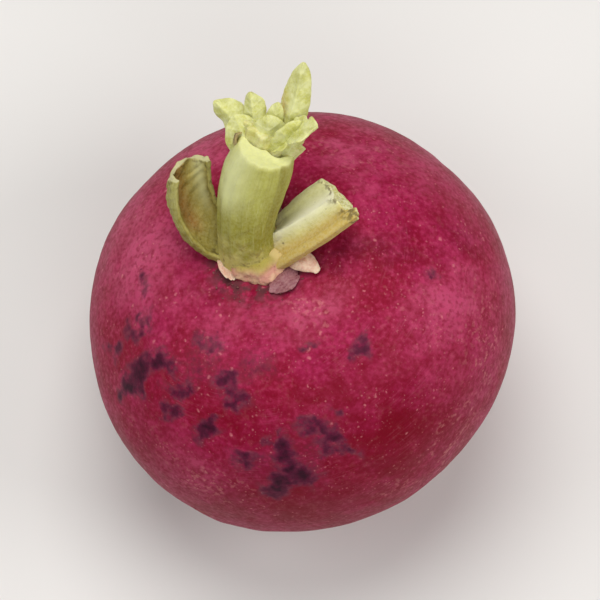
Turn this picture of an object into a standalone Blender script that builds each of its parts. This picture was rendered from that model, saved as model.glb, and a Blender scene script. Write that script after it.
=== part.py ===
"""A red radish as picked and trimmed: root with its tap root, crown, cut leaf stalks and young leaves.

Metres, +Z up. The radish leans on the flat spot of skin that it rests on, and the origin is on that level,
under the middle of the root. Every piece is first shaped in the plant's own frame, whose origin is the middle
of the root and whose +Z runs up through the crown. plant_to_world() then leans the plant and sets it down.
"""

import math

import bmesh
import bpy
from mathutils import Matrix, Vector

MM = 0.001
CLEARANCE = 0.3 * MM

# How the plant stands
LEAN_LEFT = math.radians(14.0)
LEAN_BACK = math.radians(9.6)
ROOT_CENTRE = Vector((-0.2, 0.0, 34.3)) * MM

# Swollen root
EQUATOR_RADIUS = 37.5 * MM
CROWN_SIDE_HEIGHT = 31.0 * MM
ROOT_SIDE_HEIGHT = 33.0 * MM
BOXINESS = 2.14
DIMPLE_DEPTH = 2.4 * MM
DIMPLE_RADIUS = 12.0 * MM
ROOT_SEGMENTS = 52
ROOT_RINGS = 44

# Low bulges of the root: strength, lobes round the axis, direction of the first lobe
BULGES = ((0.012, 2, 0.6), (0.009, 3, 2.1), (0.005, 5, 4.0))

# Tap root, trimmed short, and the taper that leads into it
TAIL_SHARE = 0.22
TAIL_RADIUS = 2.7 * MM
TAIL_LENGTH = 4.8 * MM
TAIL_NARROWING = 0.3
TAIL_CAP_SHARE = 0.2
TAPER_DEPTH = 4.6 * MM
TAPER_REACH = 7.0 * MM
TAIL_TURN = math.radians(26)
TAIL_TURN_DIRECTION = math.radians(-28)

# Crown, the short stem that the leaves grow from
CROWN_RADIUS = 6.4 * MM
CROWN_HEIGHT = 2.8 * MM
CROWN_LEVEL = 28.9 * MM
CROWN_SCARS = 7
CROWN_SCAR_DEPTH = 0.06
CROWN_SEGMENTS = 28
CROWN_RINGS = 12

# Leaf stalks
STALK_ROWS = 12
ARC_POINTS = 13

# Stem of the young leaves, which widens into a ribbed fan above the sheath
FAN_PATH = ((-1.2, 2.3, 31.0), (-1.5, 5.1, 35.8), (2.2, 10.2, 40.8), (6.9, 13.4, 46.2))
FAN_HALF_WIDTHS = (1.8, 2.6, 3.4, 5.4)
FAN_HALF_DEPTHS = (1.6, 1.8, 2.6, 2.6)
FAN_RIBS = 5
FAN_RIB_DEPTH = 0.1
FAN_POINTS = 30
FAN_ROWS = 12

# Young leaf blades
BLADE_THICKNESS = 0.9 * MM
BLADE_ROWS = 14
BLADE_COLUMNS = 8

# Bract, a small scale of flattened section
BRACT_PATH = ((4.9, -1.6, 29.2), (7.1, -2.5, 30.5), (8.8, -3.4, 30.9), (10.4, -4.9, 30.0))
BRACT_HALF_WIDTHS = (1.2, 2.3, 2.2, 0.8)
BRACT_FLATNESS = 0.45
BRACT_POINTS = 12
BRACT_ROWS = 8

COLOURS = {
    "radish_root": ((0.34, 0.018, 0.062, 1.0), 0.48),
    "crown": ((0.46, 0.34, 0.16, 1.0), 0.65),
    "stalk_middle": ((0.45, 0.43, 0.13, 1.0), 0.5),
    "stalk_right": ((0.60, 0.57, 0.28, 1.0), 0.5),
    "stalk_left": ((0.30, 0.24, 0.08, 1.0), 0.7),
    "stalk_back": ((0.42, 0.36, 0.12, 1.0), 0.6),
    "young_leaves": ((0.68, 0.66, 0.28, 1.0), 0.5),
    "pink_bract": ((0.60, 0.38, 0.28, 1.0), 0.55),
}


def clear_scene():
    """Empties the scene, so that only the radish is in it."""
    for item in list(bpy.data.objects):
        bpy.data.objects.remove(item, do_unlink=True)


def plant_to_world():
    """The lean and place of the plant: its own frame to the world's."""
    lean = Matrix.Rotation(-LEAN_BACK, 4, "X") @ Matrix.Rotation(-LEAN_LEFT, 4, "Y")
    return Matrix.Translation(ROOT_CENTRE) @ lean


def material(name):
    """The plain finish of one piece."""
    colour, roughness = COLOURS[name]
    made = bpy.data.materials.new(name)
    made.use_nodes = True
    shader = made.node_tree.nodes["Principled BSDF"]
    shader.inputs["Base Color"].default_value = colour
    shader.inputs["Roughness"].default_value = roughness
    shader.inputs["Metallic"].default_value = 0.0
    return made


def new_collection(name):
    """A collection in the scene."""
    collection = bpy.data.collections.new(name)
    bpy.context.scene.collection.children.link(collection)
    return collection


def add_object(name, mesh, collection):
    """An object for a mesh, in the collection, shaded smooth."""
    made = bpy.data.objects.new(name, mesh)
    collection.objects.link(made)
    mesh.shade_smooth()
    return made


def add_cutter(name, mesh, collection):
    """An object that only cuts the room that a piece needs out of its neighbours."""
    cutter = add_object(name, mesh, collection)
    cutter.hide_render = True
    cutter.display_type = "WIRE"
    return cutter


def mesh_from(name, shape):
    """A mesh datablock from a bmesh, with its faces turned outwards."""
    bmesh.ops.recalc_face_normals(shape, faces=shape.faces)
    mesh = bpy.data.meshes.new(name)
    shape.to_mesh(mesh)
    shape.free()
    return mesh


def swollen(mesh):
    """A copy of a closed mesh whose surface lies the clearance further out."""
    shape = bmesh.new()
    shape.from_mesh(mesh)
    shape.normal_update()
    for vertex in shape.verts:
        vertex.co += vertex.normal * CLEARANCE * vertex.calc_shell_factor()
    return mesh_from("swollen", shape)


def apply_modifiers(item):
    """Replaces the object's mesh by the mesh that its modifiers make."""
    bpy.context.view_layer.update()
    evaluated = item.evaluated_get(bpy.context.evaluated_depsgraph_get())
    made = bpy.data.meshes.new_from_object(evaluated)
    item.modifiers.clear()
    item.data = made


def cut(item, cutters):
    """Cuts the room of each cutter out of the object."""
    for cutter in cutters:
        modifier = item.modifiers.new("room", "BOOLEAN")
        modifier.operation = "DIFFERENCE"
        modifier.solver = "EXACT"
        modifier.object = cutter
        apply_modifiers(item)


def join(item, collection):
    """Joins every object of a collection to the object in one union, and removes the collection."""
    modifier = item.modifiers.new("union", "BOOLEAN")
    modifier.operation = "UNION"
    modifier.solver = "EXACT"
    modifier.operand_type = "COLLECTION"
    modifier.collection = collection
    apply_modifiers(item)
    for other in list(collection.objects):
        bpy.data.objects.remove(other, do_unlink=True)
    bpy.data.collections.remove(collection)


def smooth_step(x):
    """0 below 0, 1 above 1, and a smooth rise between."""
    x = min(1.0, max(0.0, x))
    return x * x * (3 - 2 * x)


def bezier(values, share):
    """The point or number at a share of the way along the Bezier curve of some control points or numbers."""
    level = list(values)
    while len(level) > 1:
        level = [low + (high - low) * share for low, high in zip(level, level[1:])]
    return level[0]


def curve_frame(path, share, across):
    """A point of a curve, its direction there, and the two directions square to that: side and front."""
    points = [Vector(point) * MM for point in path]
    step = 0.01
    ahead = bezier(points, min(1.0, share + step)) - bezier(points, max(0.0, share - step))
    ahead.normalize()
    side = Vector(across)
    side = (side - ahead * side.dot(ahead)).normalized()
    return bezier(points, share), ahead, side, side.cross(ahead)


def root_profile(share):
    """Radius and height of the root at a share of the way from the crown to the tap root's cut tip."""
    join_share = 1 - TAIL_SHARE
    power = 2 / BOXINESS
    last_angle = math.pi - math.asin((TAIL_RADIUS / EQUATOR_RADIUS) ** (1 / power))
    angle = min(share / join_share, 1.0) * last_angle
    radius = EQUATOR_RADIUS * math.sin(angle) ** power
    height = abs(math.cos(angle)) ** power
    if angle < math.pi / 2:
        height = height * CROWN_SIDE_HEIGHT - DIMPLE_DEPTH * math.exp(-((radius / DIMPLE_RADIUS) ** 2))
    else:
        low = smooth_step(2 * angle / math.pi - 1)
        height = -height * ROOT_SIDE_HEIGHT - low * TAPER_DEPTH * math.exp(-radius / TAPER_REACH)
    if share <= join_share:
        return radius, height
    along = (share - join_share) / TAIL_SHARE
    stem = min(along / (1 - TAIL_CAP_SHARE), 1.0)
    cap = max(0.0, (along - 1 + TAIL_CAP_SHARE) / TAIL_CAP_SHARE)
    radius = TAIL_RADIUS * (1 - TAIL_NARROWING * stem) * (1 - cap)
    return radius, height - stem * TAIL_LENGTH


def root_surface(around, up):
    """A point on the root for a point on a sphere: its angle round the axis, and its height from -1 to 1.

    The lower half turns about the middle of the root, which carries the tap root off to one side.
    """
    share = math.acos(up) / math.pi
    radius, height = root_profile(share)
    down = min(share / (1 - TAIL_SHARE), 1.0)
    for strength, lobes, direction in BULGES:
        radius *= 1 + strength * math.sin(math.pi * down) * math.cos(lobes * (around - direction))
    point = Vector((radius * math.cos(around), radius * math.sin(around), height))
    side = Vector((-math.sin(TAIL_TURN_DIRECTION), math.cos(TAIL_TURN_DIRECTION), 0))
    return Matrix.Rotation(-TAIL_TURN * smooth_step(2 * down - 1), 3, side) @ point


def crown_surface(around, up):
    """A point on the crown, a flattened ball with a notch for each leaf scar round its rim."""
    rim = (1 - up * up) ** 0.375
    radius = CROWN_RADIUS * rim * (1 - CROWN_SCAR_DEPTH * (1 + math.cos(CROWN_SCARS * around)) * rim)
    return Vector((radius * math.cos(around), radius * math.sin(around), CROWN_LEVEL + CROWN_HEIGHT * up))


def shaped_sphere(name, segments, rings, surface):
    """A sphere whose points are moved to a surface, leaned and placed."""
    shape = bmesh.new()
    bmesh.ops.create_uvsphere(shape, u_segments=segments, v_segments=rings, radius=1.0)
    for vertex in shape.verts:
        around = math.atan2(vertex.co.y, vertex.co.x)
        vertex.co = surface(around, max(-1.0, min(1.0, vertex.co.z)))
    mesh = mesh_from(name, shape)
    mesh.transform(plant_to_world())
    return mesh


def level_at_floor(mesh):
    """Cuts away what is below the origin's level and closes the cut, which leaves the flat spot."""
    shape = bmesh.new()
    shape.from_mesh(mesh)
    everything = list(shape.verts) + list(shape.edges) + list(shape.faces)
    bmesh.ops.bisect_plane(shape, geom=everything, plane_co=(0, 0, 0), plane_no=(0, 0, -1), clear_outer=True)
    bmesh.ops.holes_fill(shape, edges=[edge for edge in shape.edges if edge.is_boundary])
    bmesh.ops.recalc_face_normals(shape, faces=shape.faces)
    shape.to_mesh(mesh)
    shape.free()


def loft(name, rings):
    """A closed mesh through a row of rings with the same number of points, leaned and placed."""
    shape = bmesh.new()
    rows = [[shape.verts.new(point) for point in ring] for ring in rings]
    count = len(rows[0])
    for low, high in zip(rows, rows[1:]):
        for i in range(count):
            j = (i + 1) % count
            shape.faces.new((low[i], low[j], high[j], high[i]))
    shape.faces.new(rows[0])
    shape.faces.new(list(reversed(rows[-1])))
    mesh = mesh_from(name, shape)
    mesh.transform(plant_to_world())
    return mesh


class Stalk:
    """A leaf stalk, cut short: a curved wall, thick in the middle and thin at its two edges, along a curve.

    Widths and depths are half the size of the ellipse that its outer face follows, and walls the thickness in
    the middle, as control numbers from base to cut end. half_angle is half of the arc that the wall spans.
    slant and tilt push the cut end further out at one edge, and at the outer face. Sizes are in millimetres.
    """

    def __init__(self, path, across, widths, depths, walls, edge, half_angle, slant=0.0, tilt=0.0):
        self.path = path
        self.across = across
        self.widths = widths
        self.depths = depths
        self.walls = walls
        self.edge = edge
        self.half_angle = math.radians(half_angle)
        self.slant = slant
        self.tilt = tilt

    def section(self, share):
        """Points of the outer face from one edge to the other, then of the inner face back.

        The wall stays just thinner than the half-width, so that the inner face can't fold over.
        """
        width = bezier(self.widths, share)
        depth = bezier(self.depths, share)
        thickest = min(bezier(self.walls, share), 0.97 * width)
        outer = []
        inner = []
        for i in range(ARC_POINTS):
            angle = self.half_angle * (2 * i / (ARC_POINTS - 1) - 1)
            wall = self.edge + (thickest - self.edge) * math.cos(angle * math.pi / 2 / self.half_angle)
            outer.append((width * math.sin(angle), depth * math.cos(angle)))
            inner.append(((width - wall) * math.sin(angle), (depth - wall) * math.cos(angle)))
        return outer, inner

    def mesh(self, name, room=False):
        """The stalk, or, with room, the stalk with its hollow filled and swollen by the clearance."""
        rings = []
        for row in range(STALK_ROWS):
            share = row / (STALK_ROWS - 1)
            centre, ahead, side, front = curve_frame(self.path, share, self.across)
            outer, inner = self.section(share)
            outline = outer if room else outer + inner[::-1]
            reach = max(x for x, y in outer)
            push = share**3 * MM
            ring = []
            for x, y in outline:
                further = (self.slant * x / reach + self.tilt * y / reach) / 2
                ring.append(centre + (side * x + front * y) * MM + ahead * further * push)
            rings.append(ring)
        mesh = loft(name, rings)
        return swollen(mesh) if room else mesh


STALKS = {
    "stalk_middle": Stalk(
        path=((-1.5, 0.4, 28.6), (-2.0, 1.8, 34.3), (1.0, 6.8, 40.6), (5.8, 11.2, 46.2)),
        across=(1, 0, 0),
        widths=(6.0, 3.0, 7.5, 5.0),
        depths=(4.4, 5.0, 4.8),
        walls=(3.4, 4.2),
        edge=1.1,
        half_angle=98,
        tilt=-3.6,
    ),
    "stalk_right": Stalk(
        path=((2.2, 0.9, 28.8), (6.6, 1.0, 33.4), (11.6, 2.8, 36.0), (16.0, 4.2, 38.0)),
        across=(-0.15, 1, -0.1),
        widths=(4.4, 6.4, 5.7),
        depths=(3.2, 3.8, 3.6),
        walls=(4.4, 4.4),
        edge=1.9,
        half_angle=90,
        slant=-3.2,
        tilt=1.2,
    ),
    "stalk_left": Stalk(
        path=((-4.6, 1.6, 28.6), (-8.6, 2.6, 31.8), (-11.2, 6.6, 35.4), (-9.4, 11.5, 40.8)),
        across=(-0.7, -0.7, 0.1),
        widths=(2.8, 5.2, 3.7),
        depths=(3.4, 4.0, 3.2),
        walls=(6.4, 0.6, 1.2, 1.0),
        edge=0.8,
        half_angle=112,
        slant=-3.6,
    ),
    "stalk_back": Stalk(
        path=((-0.6, 4.6, 28.6), (-0.8, 7.2, 31.5), (-0.9, 9.9, 33.6), (-1.0, 12.1, 36.0)),
        across=(-1, 0, 0),
        widths=(3.2, 4.0, 3.4),
        depths=(2.6, 3.0, 2.6),
        walls=(2.2, 2.2),
        edge=1.3,
        half_angle=90,
        slant=1.6,
        tilt=1.0,
    ),
}


class Blade:
    """One young leaf blade: the curve of its midrib, the way it lies, its width, lobes, fold and waves."""

    def __init__(self, path, across, half_width, lobes, lobe_depth, fold, wave):
        self.path = path
        self.across = across
        self.half_width = half_width
        self.lobes = lobes
        self.lobe_depth = lobe_depth
        self.fold = fold
        self.wave = wave

    def half_width_at(self, along, aside):
        """Half the width: narrow at the base, round at the tip, with cuts between the lobes of the edge."""
        swelling = 0.45 + 0.55 * math.sin(math.pi * (0.08 + 0.75 * along))
        rounding = math.sqrt(1.25 - along**5)
        cuts = 0.5 + 0.5 * math.cos(2 * math.pi * self.lobes * along + 0.8 * aside)
        return self.half_width * swelling * rounding * (1 - self.lobe_depth * cuts)

    def point(self, along, aside):
        """A point of the blade: along runs from base to tip, aside from -1 at one edge to 1 at the other."""
        centre, ahead, side, front = curve_frame(self.path, along, self.across)
        reach = self.half_width_at(along, aside) * aside
        wave = self.wave * aside * aside * math.sin(2 * math.pi * self.lobes * along + aside)
        return centre + side * reach * MM - front * (self.fold * abs(reach) + wave) * MM

    def mesh(self):
        """The blade as a thin closed mesh, split into triangles alike on both faces."""
        shape = bmesh.new()
        bmesh.ops.create_grid(shape, x_segments=BLADE_COLUMNS, y_segments=BLADE_ROWS, size=1.0)
        for vertex in shape.verts:
            vertex.co = self.point((vertex.co.y + 1) / 2, vertex.co.x)
        bmesh.ops.triangulate(shape, faces=shape.faces)
        mesh = mesh_from("blade", shape)
        mesh.transform(plant_to_world())
        return mesh


BLADES = (
    Blade(
        path=((3.0, 12.4, 43.2), (1.6, 14.8, 46.2), (0.2, 17.2, 48.4), (-2.6, 19.2, 50.0)),
        across=(0.7, 0.5, 0.5),
        half_width=2.6,
        lobes=1.8,
        lobe_depth=0.3,
        fold=0.25,
        wave=0.4,
    ),
    Blade(
        path=((4.2, 12.4, 43.2), (3.9, 14.6, 46.4), (4.0, 17.1, 49.2), (4.1, 19.4, 51.3)),
        across=(1, -0.2, 0.1),
        half_width=2.3,
        lobes=1.6,
        lobe_depth=0.26,
        fold=0.3,
        wave=0.35,
    ),
    Blade(
        path=((5.4, 12.8, 43.4), (6.6, 14.6, 46.4), (7.8, 16.0, 48.4), (8.8, 17.3, 50.2)),
        across=(1, 0.1, 0),
        half_width=1.5,
        lobes=1.0,
        lobe_depth=0.12,
        fold=0.2,
        wave=0.0,
    ),
    Blade(
        path=((7.0, 12.6, 43.4), (9.8, 14.8, 46.8), (12.2, 18.4, 50.4), (14.1, 22.5, 54.0)),
        across=(0.95, -0.3, -0.2),
        half_width=2.3,
        lobes=1.0,
        lobe_depth=0.1,
        fold=0.5,
        wave=0.15,
    ),
    Blade(
        path=((6.8, 12.2, 43.4), (9.8, 12.2, 46.6), (12.8, 12.0, 48.8), (15.6, 12.0, 50.2)),
        across=(0.2, 0.9, -0.3),
        half_width=2.9,
        lobes=2.4,
        lobe_depth=0.3,
        fold=0.3,
        wave=0.35,
    ),
)


def fan_rings():
    """Rings of the young leaves' stem, an ellipse with ribs that deepen towards the top."""
    rings = []
    for row in range(FAN_ROWS):
        share = row / (FAN_ROWS - 1)
        centre, ahead, side, front = curve_frame(FAN_PATH, share, (1, 0, 0))
        ring = []
        for i in range(FAN_POINTS):
            angle = 2 * math.pi * i / FAN_POINTS
            rib = 1 + FAN_RIB_DEPTH * share * math.cos(2 * FAN_RIBS * angle)
            x = bezier(FAN_HALF_WIDTHS, share) * rib * math.cos(angle)
            y = bezier(FAN_HALF_DEPTHS, share) * rib * math.sin(angle)
            ring.append(centre + (side * x + front * y) * MM)
        rings.append(ring)
    return rings


def build_young_leaves(collection):
    """The tuft of young leaves with its stem, which stands in the hollow of the middle stalk."""
    tuft = add_object("young_leaves", loft("young_leaves", fan_rings()), collection)
    blades = new_collection("blades")
    for blade in BLADES:
        leaf = add_object("blade", blade.mesh(), blades)
        thickness = leaf.modifiers.new("thickness", "SOLIDIFY")
        thickness.thickness = BLADE_THICKNESS
        thickness.offset = 0.0
        apply_modifiers(leaf)
    join(tuft, blades)
    return tuft


def build_bract(collection):
    """The small pink scale below the right-hand stalk."""
    rings = []
    for row in range(BRACT_ROWS):
        share = row / (BRACT_ROWS - 1)
        centre, ahead, side, front = curve_frame(BRACT_PATH, share, (0.3, 0.95, 0.1))
        half_width = bezier(BRACT_HALF_WIDTHS, share) * MM
        ring = []
        for i in range(BRACT_POINTS):
            angle = 2 * math.pi * i / BRACT_POINTS
            offset = side * math.cos(angle) + front * BRACT_FLATNESS * math.sin(angle)
            ring.append(centre + offset * half_width)
        rings.append(ring)
    return add_object("pink_bract", loft("pink_bract", rings), collection)


def main():
    """Builds every piece in the radish's collection, each cut to leave its neighbours their room."""
    clear_scene()
    radish = new_collection("red_radish")
    cutters = new_collection("cutters")
    crown = add_object("crown", shaped_sphere("crown", CROWN_SEGMENTS, CROWN_RINGS, crown_surface), radish)
    crown_room = add_cutter("crown_room", swollen(crown.data), cutters)
    root = add_object("radish_root", shaped_sphere("root", ROOT_SEGMENTS, ROOT_RINGS, root_surface), radish)
    root_room = add_cutter("root_room", swollen(root.data), cutters)
    level_at_floor(root.data)
    cut(root, [crown_room])
    tuft = build_young_leaves(radish)
    cut(tuft, [crown_room])
    taken = [crown_room, root_room, add_cutter("fan_room", swollen(loft("fan", fan_rings())), cutters)]
    for name, stalk in STALKS.items():
        cut(add_object(name, stalk.mesh(name), radish), taken)
        taken.append(add_cutter(name + "_room", stalk.mesh(name, room=True), cutters))
    cut(build_bract(radish), taken)
    for item in radish.objects:
        item.data.materials.clear()
        item.data.materials.append(material(item.name))


main()
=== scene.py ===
"""Looks of a red radish: its skin, crown, cut leaf stalks, young leaves, dry scales and fine roots.

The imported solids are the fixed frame. Each class is one sub-assembly or one finish. A sub-assembly works out
its surfaces with numpy in the plant's own frame, in millimetres. There the origin is the middle of the
swollen root and +Z runs up through the crown. PlantFrame leans them and sets them down, in metres.
"""

import logging
import math
from dataclasses import dataclass
from enum import Enum
from typing import Sequence

import bmesh
import bpy
import numpy as np
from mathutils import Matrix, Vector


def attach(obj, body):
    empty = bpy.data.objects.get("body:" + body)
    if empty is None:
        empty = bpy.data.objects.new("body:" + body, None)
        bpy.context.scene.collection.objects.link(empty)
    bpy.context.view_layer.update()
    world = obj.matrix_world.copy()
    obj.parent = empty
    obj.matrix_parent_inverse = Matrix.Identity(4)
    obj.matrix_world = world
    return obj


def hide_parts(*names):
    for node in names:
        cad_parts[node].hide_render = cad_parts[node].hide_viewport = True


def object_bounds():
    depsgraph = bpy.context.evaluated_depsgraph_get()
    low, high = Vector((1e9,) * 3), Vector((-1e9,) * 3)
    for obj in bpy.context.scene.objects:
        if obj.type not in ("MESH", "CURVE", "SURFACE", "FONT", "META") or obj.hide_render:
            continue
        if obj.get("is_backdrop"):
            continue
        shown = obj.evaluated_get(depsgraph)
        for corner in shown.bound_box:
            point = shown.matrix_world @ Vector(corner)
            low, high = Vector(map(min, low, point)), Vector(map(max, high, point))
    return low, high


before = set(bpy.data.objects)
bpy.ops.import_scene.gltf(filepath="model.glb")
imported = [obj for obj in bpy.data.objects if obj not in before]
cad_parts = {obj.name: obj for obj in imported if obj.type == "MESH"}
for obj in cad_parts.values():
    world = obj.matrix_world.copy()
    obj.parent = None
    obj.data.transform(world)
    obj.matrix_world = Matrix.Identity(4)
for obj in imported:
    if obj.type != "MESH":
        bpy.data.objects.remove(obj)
CAD_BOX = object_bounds()

LOG = logging.getLogger("red_radish")
MM = 0.001
BODY = "root"
TURN = 2.0 * math.pi

Colour = tuple[float, float, float]
Point = tuple[float, float, float]
Socket = bpy.types.NodeSocket
Value = Socket | float


class Slot(Enum):
    """The record's material slots."""

    ROOT_SKIN = "root_skin"
    CROWN = "crown"
    GREEN_STALK = "green_stalk"
    PALE_STALK = "pale_stalk"
    WITHERED_STALK = "withered_stalk"
    YOUNG_LEAF = "young_leaf"
    BRACT = "bract"


class Mask(Enum):
    """The vertex attributes that finishes read, each from 0 to 1 over a surface."""

    # Paler skin, partly its own tone and partly painted highlights.
    PALE_AND_HIGHLIGHT = "pale"
    # Deeper crimson on the skin, partly its own tone and partly painted shade on the lower side.
    DEEP_AND_SHADED = "deep"
    # Painted shade on the skin, beside the crown and the stalks and low on the front.
    PAINTED_SHADE = "painted_shade"
    BLOTCH = "blotch"
    FLECK = "fleck"
    SCURF = "scurf"
    SCAR = "scar"
    TAIL = "tail"
    ALONG = "along"
    INNER = "inner"
    CUT = "cut"
    RIM = "rim"
    # Pale band on the stalks, partly paler tissue and partly a painted highlight.
    PALE_BAND_AND_HIGHLIGHT = "band"
    WARM = "warm"
    VEIN = "vein"


def smooth_step(value: np.ndarray) -> np.ndarray:
    """0 below 0, 1 above 1, and the cubic 3t^2 - 2t^3 between."""
    t = np.clip(value, 0.0, 1.0)
    return t * t * (3.0 - 2.0 * t)


def bell(distance: np.ndarray) -> np.ndarray:
    """The bell curve exp(-d^2) of a distance d."""
    return np.exp(-(distance**2))


def unit(vectors: np.ndarray) -> np.ndarray:
    """The vectors at length 1."""
    return vectors / np.maximum(np.linalg.norm(vectors, axis=-1, keepdims=True), 1e-12)


def circle(count: int) -> np.ndarray:
    """Even angles round a circle, as one row."""
    return np.linspace(0.0, TURN, count, endpoint=False)[None, :]


def held(values: np.ndarray, count: int) -> np.ndarray:
    """The rows and then the last one again, count times, as for the rings of a cap."""
    return np.concatenate([values, np.repeat(values[-1:], count, axis=0)])


def with_base(points: np.ndarray) -> np.ndarray:
    """The rings of a grid after one more, drawn to the middle of the first, which closes the base."""
    base = points[:1].mean(axis=1, keepdims=True)
    return np.concatenate([np.repeat(base, points.shape[1], axis=1), points])


def pinched(points: np.ndarray) -> np.ndarray:
    """The rings of a grid with the first and last drawn to their middles."""
    points[0], points[-1] = points[0].mean(axis=0), points[-1].mean(axis=0)
    return points


def bezier(controls: Sequence, share: np.ndarray) -> np.ndarray:
    """Points or numbers along a Bezier curve: its controls weighted by the Bernstein polynomials.

    Args:
        controls: The control points or control numbers.
        share: Shares of the way along, in one dimension.

    Returns:
        One point or number for each share.
    """
    values = np.array(controls, float)
    degree = len(values) - 1
    power = np.arange(degree + 1)
    binomial = np.array([math.comb(degree, k) for k in power])
    t = np.asarray(share, float)[:, None]
    return (binomial * t**power * (1.0 - t) ** (degree - power)) @ values


def grid_normals(points: np.ndarray) -> np.ndarray:
    """Unit normals of a grid whose columns close into rings: the steps down it times the steps round it.

    Args:
        points: The grid's points.

    Returns:
        One normal for each point, outwards.
    """
    around = np.roll(points, -1, axis=1) - np.roll(points, 1, axis=1)
    normals = unit(np.cross(np.gradient(points, axis=0), around))
    outward = np.sum(normals * (points - points.mean(axis=1, keepdims=True)), axis=-1).mean()
    return normals if outward > 0 else -normals


@dataclass(frozen=True)
class Noise:
    """A smooth random field in space, with features of a size in millimetres.

    Random numbers from -1 to 1 stand on the corners of a cubic lattice. Between the corners they are blended
    by the quintic 6t^5 - 15t^4 + 10t^3 along each axis. Each further octave has half the size and strength.
    """

    size: float
    seed: int
    octaves: int = 2
    cells: int = 32

    def at(self, points: np.ndarray) -> np.ndarray:
        """The field at some points.

        Args:
            points: Array whose last axis holds x, y and z, in the units of size.

        Returns:
            Values of about -1 to 1, one for each point.
        """
        table = np.random.default_rng(self.seed).uniform(-1.0, 1.0, (self.cells,) * 3)
        total = np.zeros(points.shape[:-1])
        for octave in range(self.octaves):
            scaled = points * 2.0**octave / self.size
            corner = np.floor(scaled).astype(int)
            part = scaled - corner
            blend = part**3 * (part * (6.0 * part - 15.0) + 10.0)
            for step in np.ndindex(2, 2, 2):
                x, y, z = np.moveaxis((corner + step) % self.cells, -1, 0)
                weight = np.where(step, blend, 1.0 - blend).prod(axis=-1)
                total += weight * table[x, y, z] / 2.0**octave
        return total


@dataclass(frozen=True)
class PlantFrame:
    """How the plant leans, in degrees, and where the middle of its root stands, in millimetres."""

    lean_left: float = 14.0
    lean_back: float = 9.6
    centre: Point = (-0.2, 0.0, 34.3)

    def axes(self) -> np.ndarray:
        """The turn from the plant's frame to the world's: first about Y by the lean left, then about X."""
        left, back = math.radians(-self.lean_left), math.radians(-self.lean_back)
        cosine, sine = math.cos(left), math.sin(left)
        about_y = np.array([[cosine, 0, sine], [0, 1, 0], [-sine, 0, cosine]])
        cosine, sine = math.cos(back), math.sin(back)
        about_x = np.array([[1, 0, 0], [0, cosine, -sine], [0, sine, cosine]])
        return about_x @ about_y

    def place(self, points: np.ndarray) -> np.ndarray:
        """Points in the plant's frame, in millimetres, to the world, in metres."""
        return (points @ self.axes().T + np.array(self.centre)) * MM


@dataclass(frozen=True)
class PhotoView:
    """The view of the photo: its height above the horizon, and the stretch of the object that fills it."""

    elevation: float = 75.0
    distance: float = 880.0
    width: float = 106.0
    aim_above: float = 3.6
    sensor: float = 36.0

    def axes(self) -> np.ndarray:
        """The view's right, up and towards-the-camera directions, as rows."""
        angle = math.radians(self.elevation)
        sine, cosine = math.sin(angle), math.cos(angle)
        return np.array([[1.0, 0.0, 0.0], [0.0, sine, cosine], [0.0, -cosine, sine]])

    def build(self, plant: PlantFrame) -> bpy.types.Object:
        """Makes the camera, aimed a little above the middle of the root so that the leaves are in view.

        Args:
            plant: Where the root stands.

        Returns:
            The camera, which is set as the scene's.
        """
        data = bpy.data.cameras.new("photo_view")
        data.sensor_width = self.sensor
        data.lens = self.sensor * self.distance / self.width
        data.clip_start, data.clip_end = 0.01, 20.0
        camera = bpy.data.objects.new("photo_view", data)
        bpy.context.scene.collection.objects.link(camera)
        _, up, out = self.axes()
        camera.location = (np.array(plant.centre) + up * self.aim_above + out * self.distance) * MM
        camera.rotation_euler = (math.radians(90.0 - self.elevation), 0.0, 0.0)
        bpy.context.scene.camera = camera
        bpy.context.scene.view_settings.view_transform = "Standard"
        return camera


@dataclass(frozen=True)
class Grid:
    """A closed surface as rows of rings, in world metres, with masks that spread over all its points.

    The columns of each row close into a ring. The first and last row are each drawn to a point, or their
    two halves meet on a line, so that welding closes the surface.
    """

    points: np.ndarray
    masks: dict[Mask, np.ndarray]

    def faces(self) -> tuple[np.ndarray, np.ndarray]:
        """The quads between neighbouring rings, and the UV of each corner.

        Returns:
            Point indices, four a face, and UV corners with u round the ring and v from first row to last.
        """
        rows, columns = self.points.shape[:2]
        row, column = np.mgrid[: rows - 1, :columns]
        round_steps = np.stack([column, column + 1, column + 1, column], axis=-1)
        down_steps = np.stack([row, row, row + 1, row + 1], axis=-1)
        quads = down_steps * columns + round_steps % columns
        uv = np.stack([round_steps / columns, down_steps / (rows - 1)], axis=-1)
        return quads.reshape(-1, 4), uv.reshape(-1, 2)

    def values(self, mask: Mask) -> np.ndarray:
        """A mask's value at each point, in order."""
        return np.broadcast_to(self.masks[mask], self.points.shape[:2]).ravel()


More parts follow.
